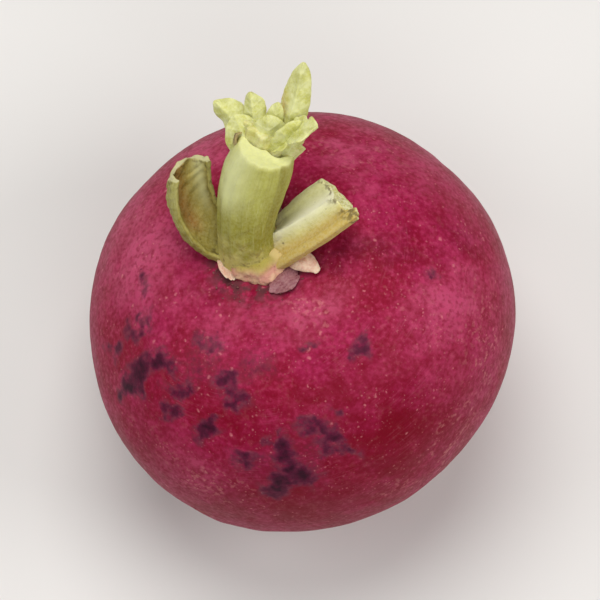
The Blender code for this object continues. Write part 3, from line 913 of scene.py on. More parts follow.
@dataclass(frozen=True)
class Root:
    """The swollen root with its trimmed tap root. Sizes are in millimetres and directions in degrees.

    Each bulge has its strength, its number of lobes round the axis and its direction.
    """

    plant: PlantFrame
    view: PhotoView
    equator_radius: float = 37.5
    crown_side_height: float = 31.0
    root_side_height: float = 33.0
    boxiness: float = 2.14
    dimple_depth: float = 2.4
    dimple_radius: float = 12.0
    bulges: tuple[tuple[float, int, float], ...] = ((0.012, 2, 0.6), (0.009, 3, 2.1), (0.005, 5, 4.0))
    tail_share: float = 0.22
    tail_radius: float = 2.7
    tail_length: float = 4.8
    tail_narrowing: float = 0.3
    tail_cap_share: float = 0.2
    taper_depth: float = 4.6
    taper_reach: float = 7.0
    tail_turn: float = 26.0
    tail_turn_direction: float = -28.0
    scar_direction: float = -118.0
    scars: int = 7
    scar_pit: float = 0.42
    scar_rim: float = 0.14
    scar_line: float = 0.26
    swell: float = 0.26
    swell_size: float = 15.0
    unevenness: float = 0.055
    unevenness_size: float = 3.2
    puckers: tuple[int, int] = (9, 17)
    pucker_depth: float = 0.16
    crown_rings: float = 0.07
    tail_fibres: int = 9
    tail_fibre_depth: float = 0.13
    blotch_size: float = 6.0
    floor_softness: float = 0.25
    body_rows: int = 228
    tail_rows: int = 36
    columns: int = 360

    @property
    def join(self) -> float:
        """The share of the way down where the tail begins."""
        return 1.0 - self.tail_share

    def shares(self) -> np.ndarray:
        """Shares of the way down: even steps over the swollen root, then even finer steps over the tail."""
        body = np.linspace(0.0, self.join, self.body_rows, endpoint=False)
        return np.concatenate([body, np.linspace(self.join, 1.0, self.tail_rows)])

    def profile(self, share: np.ndarray) -> tuple[np.ndarray, np.ndarray]:
        """Radius and height of the turned outline.

        Down to the tail it is a superellipse: radius as the sine, and height as the cosine, of an angle, both
        to the power 2 / boxiness. A dimple lowers the crown's side and a taper draws out the root's side.
        The tail narrows evenly and ends in a flat cut.

        Args:
            share: Shares of the way from the crown's pole to the middle of the tail's cut.

        Returns:
            Radius and height for each share.
        """
        power = 2.0 / self.boxiness
        last = math.pi - math.asin((self.tail_radius / self.equator_radius) ** (1.0 / power))
        angle = np.minimum(share / self.join, 1.0) * last
        radius = self.equator_radius * np.sin(angle) ** power
        level = np.abs(np.cos(angle)) ** power
        upper = level * self.crown_side_height - self.dimple_depth * bell(radius / self.dimple_radius)
        low = smooth_step(2.0 * angle / math.pi - 1.0)
        taper = low * self.taper_depth * np.exp(-radius / self.taper_reach)
        height = np.where(angle < math.pi / 2.0, upper, -level * self.root_side_height - taper)
        along = np.maximum(share - self.join, 0.0) / self.tail_share
        stem = np.minimum(along / (1.0 - self.tail_cap_share), 1.0)
        cap = np.maximum(0.0, (along - 1.0 + self.tail_cap_share) / self.tail_cap_share)
        tail = self.tail_radius * (1.0 - self.tail_narrowing * stem) * (1.0 - cap)
        return np.where(share <= self.join, radius, tail), height - stem * self.tail_length

    def surface(self, around: np.ndarray, share: np.ndarray) -> np.ndarray:
        """Points of the plain root in the plant's frame.

        The outline is turned about the axis. Each bulge adds to the radius a cosine of its lobes round the
        axis, strongest at the equator. The lower half then turns about the root's middle, which carries the
        tail off to one side.

        Args:
            around: Angles round the axis.
            share: Shares of the way down. Both broadcast together.

        Returns:
            Array of points.
        """
        radius, height = self.profile(share)
        down = np.minimum(share / self.join, 1.0)
        for strength, lobes, direction in self.bulges:
            radius = radius * (1.0 + strength * np.sin(math.pi * down) * np.cos(lobes * (around - direction)))
        turn = -math.radians(self.tail_turn) * smooth_step(2.0 * down - 1.0)
        heading = math.radians(self.tail_turn_direction)
        ahead = radius * np.cos(around - heading)
        aside = radius * np.sin(around - heading)
        turned = ahead * np.cos(turn) + height * np.sin(turn)
        level = height * np.cos(turn) - ahead * np.sin(turn)
        x = turned * math.cos(heading) - aside * math.sin(heading)
        y = turned * math.sin(heading) + aside * math.cos(heading)
        return np.stack(np.broadcast_arrays(x, y, level), axis=-1)

    def scar_mask(self, around: np.ndarray, share: np.ndarray) -> np.ndarray:
        """Scars of side roots, in two opposite lines that run to the tail.

        Each scar is exp(-d^2), wider than high, and they stand closer and grow narrower towards the tail. A
        faint line joins them.

        Args:
            around: Angles round the axis.
            share: Shares of the way down.

        Returns:
            The mask, 1 in the middle of each scar.
        """
        radius, _ = self.profile(share)
        window = smooth_step((share - 0.5 * self.join) / 0.1) * smooth_step((self.join - share) / 0.04)
        mask = np.zeros(np.broadcast(around, share).shape)
        rng = np.random.default_rng(11)
        for line in (0.0, math.pi):
            heading = math.radians(self.scar_direction) + line
            aside = ((around - heading + math.pi) % TURN - math.pi) * np.maximum(radius, self.tail_radius)
            for way in np.arange(self.scars) / (self.scars - 1):
                place = self.join * (0.55 + 0.42 * way**0.8)
                shift, grow = rng.uniform(-0.9, 0.9), rng.uniform(0.75, 1.25)
                width = (2.1 - 1.1 * way) * grow
                far = ((aside - shift) / width) ** 2 + ((share - place) * 150.0 / 0.55) ** 2
                mask = np.maximum(mask, np.exp(-far))
            mask = np.maximum(mask, self.scar_line * bell(aside / 1.1) * window)
        return mask

    def relief(self, points: np.ndarray, around: np.ndarray, share: np.ndarray) -> np.ndarray:
        """How far the skin stands out from the plain root, in millimetres.

        It is the sum of broad swells and small unevenness (noise), radial puckers and rings round the crown
        (cosines that fade with the radius), pits at the side roots' scars, and fibres along the tail.

        Args:
            points: The plain root's points.
            around: Angles round the axis.
            share: Shares of the way down.

        Returns:
            One height for each point.
        """
        radius, _ = self.profile(share)
        height = self.swell * Noise(self.swell_size, 1).at(points)
        height = height + self.unevenness * Noise(self.unevenness_size, 2, 3).at(points)
        near_crown = bell((radius - 8.0) / 6.0) * (share < 0.4)
        wander = Noise(9.0, 3, 1).at(points)
        broad, narrow = self.puckers
        puckers = np.cos(broad * around + 3.0 * wander) + 0.6 * np.cos(narrow * around + 1.0 + 4.0 * wander)
        rings = np.cos(radius * 3.6 + 5.0 * wander)
        height = height + near_crown * (self.pucker_depth * puckers + self.crown_rings * rings)
        scar = self.scar_mask(around, share)
        height = height - self.scar_pit * smooth_step((scar - 0.45) / 0.55)
        height = height + self.scar_rim * smooth_step(scar / 0.4)
        on_tail = smooth_step((share - self.join * 0.93) / (self.join * 0.07))
        fibres = np.cos(self.tail_fibres * around + 2.0 * wander) + 0.7 * Noise(0.9, 4).at(points)
        return height + on_tail * self.tail_fibre_depth * fibres

    def seen(self, points: np.ndarray) -> np.ndarray:
        """World points in the photo's view: millimetres right of, above and in front of the root's middle."""
        middle = np.array(self.plant.centre) * MM
        return np.moveaxis((points - middle) @ self.view.axes().T / MM, -1, 0)

    def marks(self, points: np.ndarray, marks: Sequence[SkinMark], wander: float) -> np.ndarray:
        """The strongest of some marks at each point of the side that faces the camera.

        Args:
            points: World points in metres.
            marks: The marks.
            wander: How far noise shifts them, in millimetres, which makes their outlines uneven.

        Returns:
            The mask.
        """
        right, above, out = self.seen(points)
        right = right + wander * Noise(3.0, 21, 3).at(points / MM)
        above = above + wander * Noise(3.0, 22, 3).at(points / MM)
        strongest = np.max([mark.strength_at(right, above) for mark in marks], axis=0)
        return strongest * smooth_step(out / 6.0)

    def back_marks(self, points: np.ndarray) -> np.ndarray:
        """Faint blotches where the photo doesn't reach: peaks of noise on the side away from the camera."""
        peaks = smooth_step((Noise(self.blotch_size, 31, 3).at(points / MM) - 0.72) / 0.5)
        return 0.75 * peaks * smooth_step(-self.seen(points)[2] / 10.0)

    def build(self, effects: Effects) -> bpy.types.Object:
        """Builds the root, levelled where it rests.

        Levelling is z' = (z + sqrt(z^2 + s^2)) / 2, which is z above the floor and 0 below it.

        Args:
            effects: The shared node groups.

        Returns:
            The finished piece.
        """
        share, around = self.shares()[:, None], circle(self.columns)
        plain = self.surface(around, share)
        points = pinched(plain + grid_normals(plain) * self.relief(plain, around, share)[..., None])
        points = self.plant.place(points)
        points[..., 2] = (points[..., 2] + np.hypot(points[..., 2], self.floor_softness * MM)) / 2.0
        radius, _ = self.profile(share)
        rosy = 0.4 * smooth_step((share - 0.56) / 0.16)
        masks = {
            # Paler pink, partly painted highlights.
            Mask.PALE_AND_HIGHLIGHT: np.maximum(self.marks(points, PALE_PATCHES_AND_HIGHLIGHTS, 2.5), rosy),
            # Deeper crimson, partly painted shade on the lower side.
            Mask.DEEP_AND_SHADED: self.marks(points, DEEP_AND_SHADED_PATCHES, 3.0),
            # Painted shade beside the crown and the stalks.
            Mask.PAINTED_SHADE: self.marks(points, PAINTED_SHADES, 2.0),
            Mask.FLECK: np.maximum(self.marks(points, FLECKED, 1.0), 0.12),
            Mask.BLOTCH: np.maximum(self.marks(points, BLOTCHES, 1.5), self.back_marks(points)),
            Mask.SCURF: bell((radius - 7.2) / 2.6) * (share < 0.3),
            Mask.SCAR: self.scar_mask(around, share),
            Mask.TAIL: smooth_step((share - self.join * 0.95) / (self.join * 0.06)),
        }
        finish = SkinFinish().material(effects)
        return make_piece("root_skin", [Grid(points, masks)], finish, Slot.ROOT_SKIN, "radish_root")


@dataclass(frozen=True)
class Crown:
    """The short stem that all leaves grow from: a flattened ball with leaf scars round its rim."""

    plant: PlantFrame
    radius: float = 6.4
    height: float = 2.8
    level: float = 28.9
    scars: int = 7
    scar_depth: float = 0.06
    lump: float = 0.55
    lump_size: float = 2.6
    small_lump: float = 0.16
    small_lump_size: float = 0.8
    tan_direction: float = 12.0
    rows: int = 90
    columns: int = 240

    def build(self, effects: Effects) -> bpy.types.Object:
        """Builds the crown.

        Its radius is (1 - up^2)^0.375 with a cosine notch for each scar, and noise makes it lumpy.

        Args:
            effects: The shared node groups.

        Returns:
            The finished piece.
        """
        up, around = np.cos(np.linspace(0.0, math.pi, self.rows))[:, None], circle(self.columns)
        rim = np.maximum(1.0 - up * up, 0.0) ** 0.375
        radius = self.radius * rim * (1.0 - self.scar_depth * (1.0 + np.cos(self.scars * around)) * rim)
        level = self.level + self.height * up
        plain = np.broadcast_arrays(radius * np.cos(around), radius * np.sin(around), level)
        plain = np.stack(plain, axis=-1)
        lumps = self.lump * Noise(self.lump_size, 41).at(plain)
        lumps = lumps + self.small_lump * Noise(self.small_lump_size, 42).at(plain)
        points = pinched(plain + unit(plain - [0.0, 0.0, self.level]) * (lumps * rim**2)[..., None])
        right = smooth_step((np.cos(around - math.radians(self.tan_direction)) - 0.5) / 0.3)
        masks = {
            Mask.ALONG: smooth_step((up - 0.5) / 0.4),
            Mask.WARM: 0.9 * right * smooth_step((up - 0.1) / 0.3),
            Mask.SCURF: smooth_step((0.1 - up) / 0.5),
        }
        grid = Grid(self.plant.place(points), masks)
        return make_piece("crown_flesh", [grid], CrownFinish().material(effects), Slot.CROWN, "crown")


@dataclass(frozen=True)
class Stripe:
    """A stripe of another colour along a stalk: its middle and half-width in degrees, and where it begins."""

    middle: float = 0.0
    half_width: float = 1.0
    strength: float = 0.0
    start: float = 0.0
    rise: float = 0.35

    def at(self, angles: np.ndarray, share: np.ndarray) -> np.ndarray:
        """Strength times exp(-d^2) of the angle from the middle, from the start on.

        Args:
            angles: The angle of each point.
            share: The share of the way along of each point.

        Returns:
            The mask.
        """
        far = (np.degrees(angles) - self.middle) / self.half_width
        return self.strength * bell(far) * smooth_step((share - self.start) / self.rise)


@dataclass(frozen=True)
class Stalk:
    """A leaf stalk, cut short: a curved wall, thick in the middle and thin at its edges, along a curve.

    Widths, depths and walls are control numbers from base to cut end: half the size of the ellipse that the
    outer face follows, and the wall's thickness in its middle. edge is its thickness at the two free edges
    and edge_round is how full they are. half_angle is half of the arc that the wall spans. slant and tilt
    push the cut end further out at one edge and at the outer face. flare widens the base and heel raises the
    inner face there. ribs stand along the outer face and the groove runs along it at groove_angle. The end
    is ragged and wither wrinkles the whole. lip rounds the cut's rim and dish hollows its middle. The thorn
    is a sliver that runs on from the cut at thorn_angle. Its width and the groove's are in radians. band is a
    pale stripe, partly paler tissue and partly a painted highlight, and warm a warm one, on the outer face
    or, with stripes_inside, on both.
    """

    plant: PlantFrame
    name: str
    node: str
    slot: Slot
    finish: StalkFinish
    spine: Spine
    widths: tuple[float, ...]
    depths: tuple[float, ...]
    walls: tuple[float, ...]
    edge: float
    half_angle: float
    slant: float = 0.0
    tilt: float = 0.0
    flare: float = 0.0
    flare_share: float = 0.14
    heel: float = 0.0
    heel_share: float = 0.22
    ribs: float = 15.0
    rib_depth: float = 0.12
    ragged: float = 0.3
    ragged_size: float = 2.2
    wither: float = 0.08
    wither_size: float = 1.7
    lip: float = 0.35
    dish: float = 0.5
    dish_reach: float = 1.6
    thorn: float = 0.0
    thorn_angle: float = 0.0
    thorn_width: float = 0.2
    groove: float = 0.0
    groove_angle: float = 0.0
    groove_width: float = 0.11
    edge_round: float = 1.0
    band: Stripe = Stripe()
    warm: Stripe = Stripe()
    stripes_inside: bool = False
    rim_reach: float = 1.3
    rows: int = 110
    arc: int = 84
    round_points: int = 8
    cap_rows: int = 14
    seed: int = 50

    def ring(self, share: np.ndarray) -> tuple[np.ndarray, np.ndarray, np.ndarray, np.ndarray]:
        """The section at each share: outer face, round edge, inner face back, round edge.

        The outer face is an ellipse arc with ribs that are cosines of the angle, and the inner face the same
        ellipse less the wall. Each free edge is a half circle between the two faces' ends.

        Args:
            share: Shares of the way along.

        Returns:
            Section points and the points of the wall's middle line, with one row for each share and one
            column for each point of the ring. Then the angle and the inner mask of each point of the ring.
        """
        half = math.radians(self.half_angle)
        angle = np.linspace(-half, half, self.arc)
        crest = np.cos(angle * math.pi / 2.0 / half)
        width, depth, wall = (bezier(c, share)[:, None] for c in (self.widths, self.depths, self.walls))
        wide = 1.0 + self.flare * np.exp(-share / self.flare_share)[:, None]
        width, depth = width * wide, depth * wide
        wall = self.edge + (np.minimum(wall, 0.97 * width) - self.edge) * crest
        groove = bell((angle - math.radians(self.groove_angle)) / self.groove_width)
        groove = self.groove * groove * smooth_step(share[:, None] / 0.3)
        out = self.rib_depth * np.cos(self.ribs * angle) * crest**0.5 - groove
        outer = np.stack([(width + out) * np.sin(angle), (depth + out) * np.cos(angle)], axis=-1)
        heel = self.heel * np.exp(-share[:, None] / self.heel_share) * crest
        inner = np.stack([(width - wall) * np.sin(angle), (depth - wall) * np.cos(angle) - heel], axis=-1)
        centre = (outer + inner) / 2.0
        bend = np.linspace(0.0, math.pi, self.round_points + 2)[1:-1]
        edges = []
        for index, sign in ((-1, 1.0), (0, -1.0)):
            reach = (outer[:, index] - inner[:, index])[:, None] / 2.0
            onward = sign * np.array([math.cos(sign * half), -math.sin(sign * half)])
            spread = np.linalg.norm(reach, axis=-1, keepdims=True) * self.edge_round
            arc = reach * np.cos(bend)[:, None] + onward * spread * np.sin(bend)[:, None]
            edges.append(centre[:, index, None] + arc)
        points = np.concatenate([outer, edges[0], inner[:, ::-1], edges[1][:, ::-1]], axis=1)
        last, first = (np.repeat(centre[:, [k]], self.round_points, axis=1) for k in (-1, 0))
        middle = np.concatenate([centre, last, centre[:, ::-1], first], axis=1)
        edge_angle, rise = np.full(self.round_points, half), bend / math.pi
        angles = np.concatenate([angle, edge_angle, angle[::-1], -edge_angle])
        inside = np.concatenate([np.zeros(self.arc), rise, np.ones(self.arc), 1.0 - rise])
        return points, middle, angles, inside

    def build(self, effects: Effects) -> bpy.types.Object:
        """Builds the stalk.

        The section is carried along the spine. At the cut end the ring moves in to the wall's middle line,
        first round the lip as a quarter circle, then dished as the pith dries.

        Args:
            effects: The shared node groups.

        Returns:
            The finished piece.
        """
        share = np.linspace(0.0, 1.0, self.rows)
        section, middle, angles, inside = self.ring(share)
        reach = held(section[..., 0].max(axis=1), self.cap_rows)[:, None, None]
        inward = np.linspace(0.0, 1.0, self.cap_rows + 1)[1:, None]
        inset = inward * np.linalg.norm(section[-1] - middle[-1], axis=-1)
        quarter = self.lip * np.sqrt(1.0 - (1.0 - np.minimum(inset / self.lip, 1.0)) ** 2)
        push = quarter - self.dish * smooth_step((inset - self.lip) / self.dish_reach)
        before = np.zeros(section.shape[:2])
        forward = np.concatenate([before, push])
        on_cut = np.concatenate([before, smooth_step(inset / self.lip)])
        section = np.concatenate([section, section[-1:] + (middle[-1:] - section[-1:]) * inward[..., None]])
        share = held(share, self.cap_rows)
        along = share[:, None]
        centre, ahead, side, front = self.spine.frames(share)
        x, y = section[..., :1], section[..., 1:]
        out = side * x + front * y
        points = centre + out
        drawn_out = points - ahead * np.sum(points * ahead, axis=-1, keepdims=True) * 0.75
        wrinkle = self.wither * Noise(self.wither_size, self.seed).at(drawn_out)[..., None]
        fade = np.concatenate([np.ones(self.rows), np.linspace(1.0, 0.3, self.cap_rows)])[:, None, None]
        points = points + unit(out) * wrinkle * fade
        thorn = self.thorn * bell((angles - math.radians(self.thorn_angle)) / self.thorn_width)
        uneven = self.ragged * Noise(self.ragged_size, self.seed + 1).at(points) - self.lip
        lean = (self.slant * x + self.tilt * y) / reach / 2.0 * along[..., None] ** 3
        points = points + ahead * (lean + (uneven * along**8 + thorn * along**20 + forward)[..., None])
        striped = 1.0 - inside * (not self.stripes_inside)
        masks = {
            Mask.ALONG: along,
            Mask.INNER: inside * (1.0 - on_cut),
            Mask.CUT: on_cut,
            Mask.RIM: bell((1.0 - along) * self.spine.length() / self.rim_reach) * (1.0 - 0.75 * on_cut),
            # The pale band is partly paler tissue and partly a painted highlight.
            Mask.PALE_BAND_AND_HIGHLIGHT: self.band.at(angles, along) * striped,
            Mask.WARM: self.warm.at(angles, along) * striped,
        }
        masks = {mask: np.concatenate([values[:1], values]) for mask, values in masks.items()}
        grid = Grid(self.plant.place(with_base(points)), masks)
        return make_piece(self.name, [grid], self.finish.material(effects), self.slot, self.node)


# Its warm colour is a dark olive brown; on the middle stalk it lies along the groove, partly brownish tissue
# and partly painted shade in the groove.
GREEN_FINISH = StalkFinish(
    name="green_stalk_flesh", low=(0.29, 0.26, 0.028), high=(0.45, 0.44, 0.09), pale=(0.66, 0.67, 0.32),
    warm=(0.22, 0.17, 0.02), inner=(0.42, 0.40, 0.09), cut=(0.72, 0.73, 0.32), dark=(0.16, 0.10, 0.015),
    skirt=(0.58, 0.50, 0.15), streak=0.3, dots=0.2, rim=0.0,
)
PALE_FINISH = StalkFinish(
    name="pale_stalk_flesh", low=(0.50, 0.47, 0.11), high=(0.64, 0.60, 0.17), pale=(0.92, 0.90, 0.66),
    warm=(0.58, 0.39, 0.085), inner=(0.62, 0.60, 0.20), cut=(0.56, 0.53, 0.16), dark=(0.13, 0.09, 0.03),
    skirt=(0.76, 0.69, 0.42), streak=0.15, dots=0.55, rim=0.8,
)
WITHERED_FINISH = StalkFinish(
    name="withered_stalk_flesh", low=(0.26, 0.21, 0.03), high=(0.38, 0.35, 0.10), pale=(0.60, 0.58, 0.28),
    warm=(0.32, 0.15, 0.03), inner=(0.42, 0.34, 0.075), cut=(0.60, 0.56, 0.30), dark=(0.07, 0.035, 0.008),
    streak=0.6, dots=0.7, gloss=Gloss(0.62, 0.3, scatter=0.08, scatter_radius=(1.0, 0.8, 0.3)),
)
BACK_FINISH = StalkFinish(
    name="back_stalk_flesh", low=(0.30, 0.26, 0.05), high=(0.44, 0.40, 0.13), pale=(0.62, 0.58, 0.30),
    warm=(0.42, 0.28, 0.08), inner=(0.36, 0.30, 0.09), cut=(0.50, 0.42, 0.18), dark=(0.12, 0.075, 0.025),
    dots=0.5, rim=0.85,
)


def stalks(plant: PlantFrame) -> tuple[Stalk, ...]:
    """The four cut leaf stalks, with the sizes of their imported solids.

    Args:
        plant: Where the plant stands.

    Returns:
        The middle, right, left and back stalk.
    """
    # The pale bands of these stalks are partly paler tissue and partly painted highlights.
    middle = Stalk(
        plant, "middle_stalk_sheath", "stalk_middle", Slot.GREEN_STALK, GREEN_FINISH,
        Spine(((-1.5, 0.4, 28.6), (-2.0, 1.8, 34.3), (1.0, 6.8, 40.6), (5.8, 11.2, 46.2)), (1, 0, 0)),
        widths=(6.0, 3.0, 7.5, 5.0), depths=(4.4, 5.0, 4.8), walls=(3.4, 4.2), edge=1.1, half_angle=98,
        tilt=-3.6, lip=0.5, dish=0.1, rib_depth=0.09, groove=0.35, groove_angle=52,
        # The warm stripe is a dark line along the groove: partly brownish tissue, partly painted shade in the
        # groove.
        band=Stripe(-42, 34, 0.95, start=0.42, rise=0.3), warm=Stripe(60, 11, 0.6, start=0.25), seed=51,
    )
    right = Stalk(
        plant, "right_stalk_stub", "stalk_right", Slot.PALE_STALK, PALE_FINISH,
        Spine(((2.2, 0.9, 28.8), (6.6, 1.0, 33.4), (11.6, 2.8, 36.0), (16.0, 4.2, 38.0)), (-3, 20, -2)),
        widths=(4.4, 6.4, 5.7), depths=(3.2, 3.8, 3.6), walls=(4.4, 4.4), edge=1.9, half_angle=90,
        slant=-3.2, tilt=1.2, flare=0.05, heel=4.4, edge_round=0.55, thorn=2.0, thorn_angle=-90,
        band=Stripe(26, 60, 1.0, start=-0.1, rise=0.25), warm=Stripe(-82, 32, 0.9, start=-0.3),
        stripes_inside=True, rows=90, arc=70, seed=54,
    )
    left = Stalk(
        plant, "left_stalk_withered", "stalk_left", Slot.WITHERED_STALK, WITHERED_FINISH,
        Spine(((-4.6, 1.6, 28.6), (-8.6, 2.6, 31.8), (-11.2, 6.6, 35.4), (-9.4, 11.5, 40.8)), (-7, -7, 1)),
        widths=(2.8, 5.2, 3.7), depths=(3.4, 4.0, 3.2), walls=(6.4, 0.6, 1.2, 1.0), edge=0.8, half_angle=112,
        slant=-3.6, flare=0.05, ribs=11.0, rib_depth=0.14, ragged=0.8, wither=0.2, lip=0.2, dish=0.1,
        band=Stripe(-66, 26, 0.8, start=0.4), warm=Stripe(20, 34, 0.9, start=0.3, rise=0.2),
        stripes_inside=True, rows=100, seed=57,
    )
    back = Stalk(
        plant, "back_stalk_stub", "stalk_back", Slot.GREEN_STALK, BACK_FINISH,
        Spine(((-0.6, 4.6, 28.6), (-0.8, 7.2, 31.5), (-0.9, 9.9, 33.6), (-1.0, 12.1, 36.0)), (-1, 0, 0)),
        widths=(3.2, 4.0, 3.4), depths=(2.6, 3.0, 2.6), walls=(2.2, 2.2), edge=1.3, half_angle=90,
        slant=1.6, tilt=1.0, flare=0.2, ragged=0.5, wither=0.16, rows=70, arc=56, seed=60,
    )
    return middle, right, left, back


@dataclass(frozen=True)
class Loft:
    """A closed body along a curve: rings of an outline, a round cap at the end, and noise on its skin."""

    spine: Spine
    cap: float
    lump: float
    noise: Noise
    rows: int
    cap_rows: int
    columns: int

    def shares(self) -> np.ndarray:
        """The share of the way along of each ring, those of the cap too."""
        return held(np.linspace(0.0, 1.0, self.rows), self.cap_rows)

    def points(self, x: np.ndarray, y: np.ndarray) -> np.ndarray:
        """The body's points. Over the cap the outline shrinks as a cosine and moves ahead as a sine.

        Args:
            x: The outline along the curve's side, with one row for each ring.
            y: The outline along its front.

        Returns:
            The rings, after one that closes the base.
        """
        bend = np.linspace(0.0, math.pi / 2.0, self.cap_rows + 1)[1:]
        scale = np.concatenate([np.ones(self.rows), np.cos(bend)])[:, None, None]
        rise = np.concatenate([np.zeros(self.rows), self.cap * np.sin(bend)])[:, None, None]
        centre, ahead, side, front = self.spine.frames(self.shares())
        out = (side * x[..., None] + front * y[..., None]) * scale
        points = centre + out + ahead * rise
        return with_base(points + unit(out) * self.lump * self.noise.at(points)[..., None] * scale)


@dataclass(frozen=True)
class LeafFan:
    """The stem of the young leaves, which widens into a ribbed, folded fan above the sheath."""

    plant: PlantFrame
    loft: Loft = Loft(
        Spine(((-1.2, 2.3, 31.0), (-1.5, 5.1, 35.8), (2.2, 10.2, 40.8), (6.9, 13.4, 46.2)), (1, 0, 0)),
        cap=0.8, lump=0.12, noise=Noise(1.4, 71), rows=90, cap_rows=8, columns=160,
    )
    half_widths: tuple[float, ...] = (1.8, 2.6, 3.4, 5.4)
    half_depths: tuple[float, ...] = (1.6, 1.8, 2.6, 2.6)
    ribs: int = 10
    rib_depth: float = 0.1
    fine_ribs: int = 23
    fine_rib_depth: float = 0.03

    def build(self, finish: bpy.types.Material) -> bpy.types.Object:
        """Builds the fan: an ellipse with cosine ribs that deepen towards the top.

        Args:
            finish: The leaves' material.

        Returns:
            The finished piece.
        """
        share, angle = self.loft.shares(), circle(self.loft.columns)
        along = share[:, None]
        rib = 1.0 + self.rib_depth * along * np.cos(self.ribs * angle)
        rib = rib + self.fine_rib_depth * along * np.cos(self.fine_ribs * angle + 1.0)
        x = bezier(self.half_widths, share)[:, None] * rib * np.cos(angle)
        y = bezier(self.half_depths, share)[:, None] * rib * np.sin(angle)
        along = np.concatenate([along[:1], along])
        vein = np.clip(np.cos(self.ribs * angle), 0.0, 1.0) * along
        masks = {Mask.VEIN: vein, Mask.WARM: 0.15 * smooth_step((along - 0.75) / 0.2)}
        grid = Grid(self.plant.place(self.loft.points(x, y)), masks)
        return make_piece("young_leaf_fan", [grid], finish, Slot.YOUNG_LEAF, "young_leaves")


@dataclass(frozen=True)
class Tinge:
    """A dried, warm patch on a blade: its place aside and along, its two half-sizes and its strength."""

    aside: float = 0.0
    along: float = 0.0
    wide: float = 1.0
    long: float = 1.0
    strength: float = 0.0

    def at(self, aside: np.ndarray, along: np.ndarray) -> np.ndarray:
        """Strength times exp(-d^2), with d the distance from its middle in its half-sizes."""
        return self.strength * bell((aside - self.aside) / self.wide) * bell((along - self.along) / self.long)


@dataclass(frozen=True)
class Blade:
    """A young leaf blade: its midrib's curve, the way it lies, its width, lobes, fold, waves and teeth."""

    name: str
    spine: Spine
    half_width: float
    lobes: float
    lobe_depth: float
    fold: float
    wave: float
    seed: int
    teeth: float = 0.0
    tooth_depth: float = 0.0
    thickness: float = 0.9
    warm: Tinge = Tinge()
    midrib_height: float = 0.16
    midrib_width: float = 0.28
    vein_height: float = 0.05
    side_veins: float = 7.0
    crumple: float = 0.16
    swell: float = 0.3
    rows: int = 90
    columns: int = 41

    def half_width_at(self, along: np.ndarray, aside: np.ndarray) -> np.ndarray:
        """Half the width.

        It is narrow at the base, swells as a sine and rounds off at the tip as an ellipse. Cosine cuts part
        the lobes, and a finer wave makes teeth.

        Args:
            along: Share of the way from base to tip.
            aside: -1 at one edge to 1 at the other.

        Returns:
            The half-width in millimetres.
        """
        swelling = 0.45 + 0.55 * np.sin(math.pi * (0.08 + 0.75 * along))
        rounding = np.sqrt(np.maximum(1.25 - along**5, 0.0))
        tip = np.sqrt(np.clip(1.0 - (np.maximum(along - 0.84, 0.0) / 0.16) ** 2, 0.0, 1.0))
        cuts = 0.5 + 0.5 * np.cos(TURN * self.lobes * along + 0.8 * aside)
        teeth = 1.0 + self.tooth_depth * np.abs(np.sin(self.teeth * along * math.pi + aside))
        return self.half_width * swelling * rounding * tip * (1.0 - self.lobe_depth * cuts) * teeth

    def grid(self, plant: PlantFrame) -> Grid:
        """The blade as a closed thin body.

        Its middle surface leaves the midrib to both sides, folded up by a share of the distance and waved as
        a sine that grows to the edge. Half the thickness, which falls to 0 at the edge as a flat ellipse, is
        added on both faces, with a raised midrib and side veins as cosines. Noise crumples the whole blade.

        Args:
            plant: Where the plant stands.

        Returns:
            The grid.
        """
        share = np.linspace(0.0, 1.0, self.rows) ** 0.9
        half = np.sin(np.linspace(-math.pi / 2.0, math.pi / 2.0, self.columns))
        aside = np.concatenate([half, half[-2:0:-1]])
        face = np.concatenate([np.ones(self.columns), -np.ones(self.columns - 2)])
        along = share[:, None]
        centre, _, side, front = self.spine.frames(share)
        reach = self.half_width_at(along, aside) * aside
        wave = self.wave * aside * aside * np.sin(TURN * self.lobes * along + aside)
        thick = self.thickness / 2.0 * np.sqrt(np.clip(1.0 - aside**8, 0.0, 1.0)) * np.sqrt(1.0 - along**12)
        thick = thick * (1.0 - 0.45 * np.abs(aside) ** 1.5)
        midrib = bell(reach / self.midrib_width) * (1.0 - 0.7 * along)
        side_veins = np.clip(np.cos(TURN * (self.side_veins * along - 1.1 * np.abs(aside))), 0.0, 1.0) ** 4
        side_veins = side_veins * (1.0 - aside**4)
        raised = self.midrib_height * midrib + self.vein_height * side_veins
        sink = self.fold * np.abs(reach) + wave - face * (thick + raised * (thick > 0.05))
        points = centre + side * reach[..., None] - front * sink[..., None]
        small, large = Noise(1.6, self.seed).at(points), Noise(4.0, self.seed + 1, 1).at(points)
        crumple = (self.crumple * small + self.swell * large) * smooth_step(along / 0.3)
        points = pinched(points + front * crumple[..., None])
        masks = {Mask.VEIN: np.maximum(midrib, 0.7 * side_veins), Mask.WARM: self.warm.at(aside, along)}
        return Grid(plant.place(points), masks)

    def build(
        self, plant: PlantFrame, finish: bpy.types.Material, slot: Slot, *nodes: str
    ) -> bpy.types.Object:
        """Builds the blade.

        Args:
            plant: Where the plant stands.
            finish: Its material.
            slot: The record's slot for it.
            nodes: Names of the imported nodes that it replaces.

        Returns:
            The finished piece.
        """
        return make_piece(self.name, [self.grid(plant)], finish, slot, *nodes)


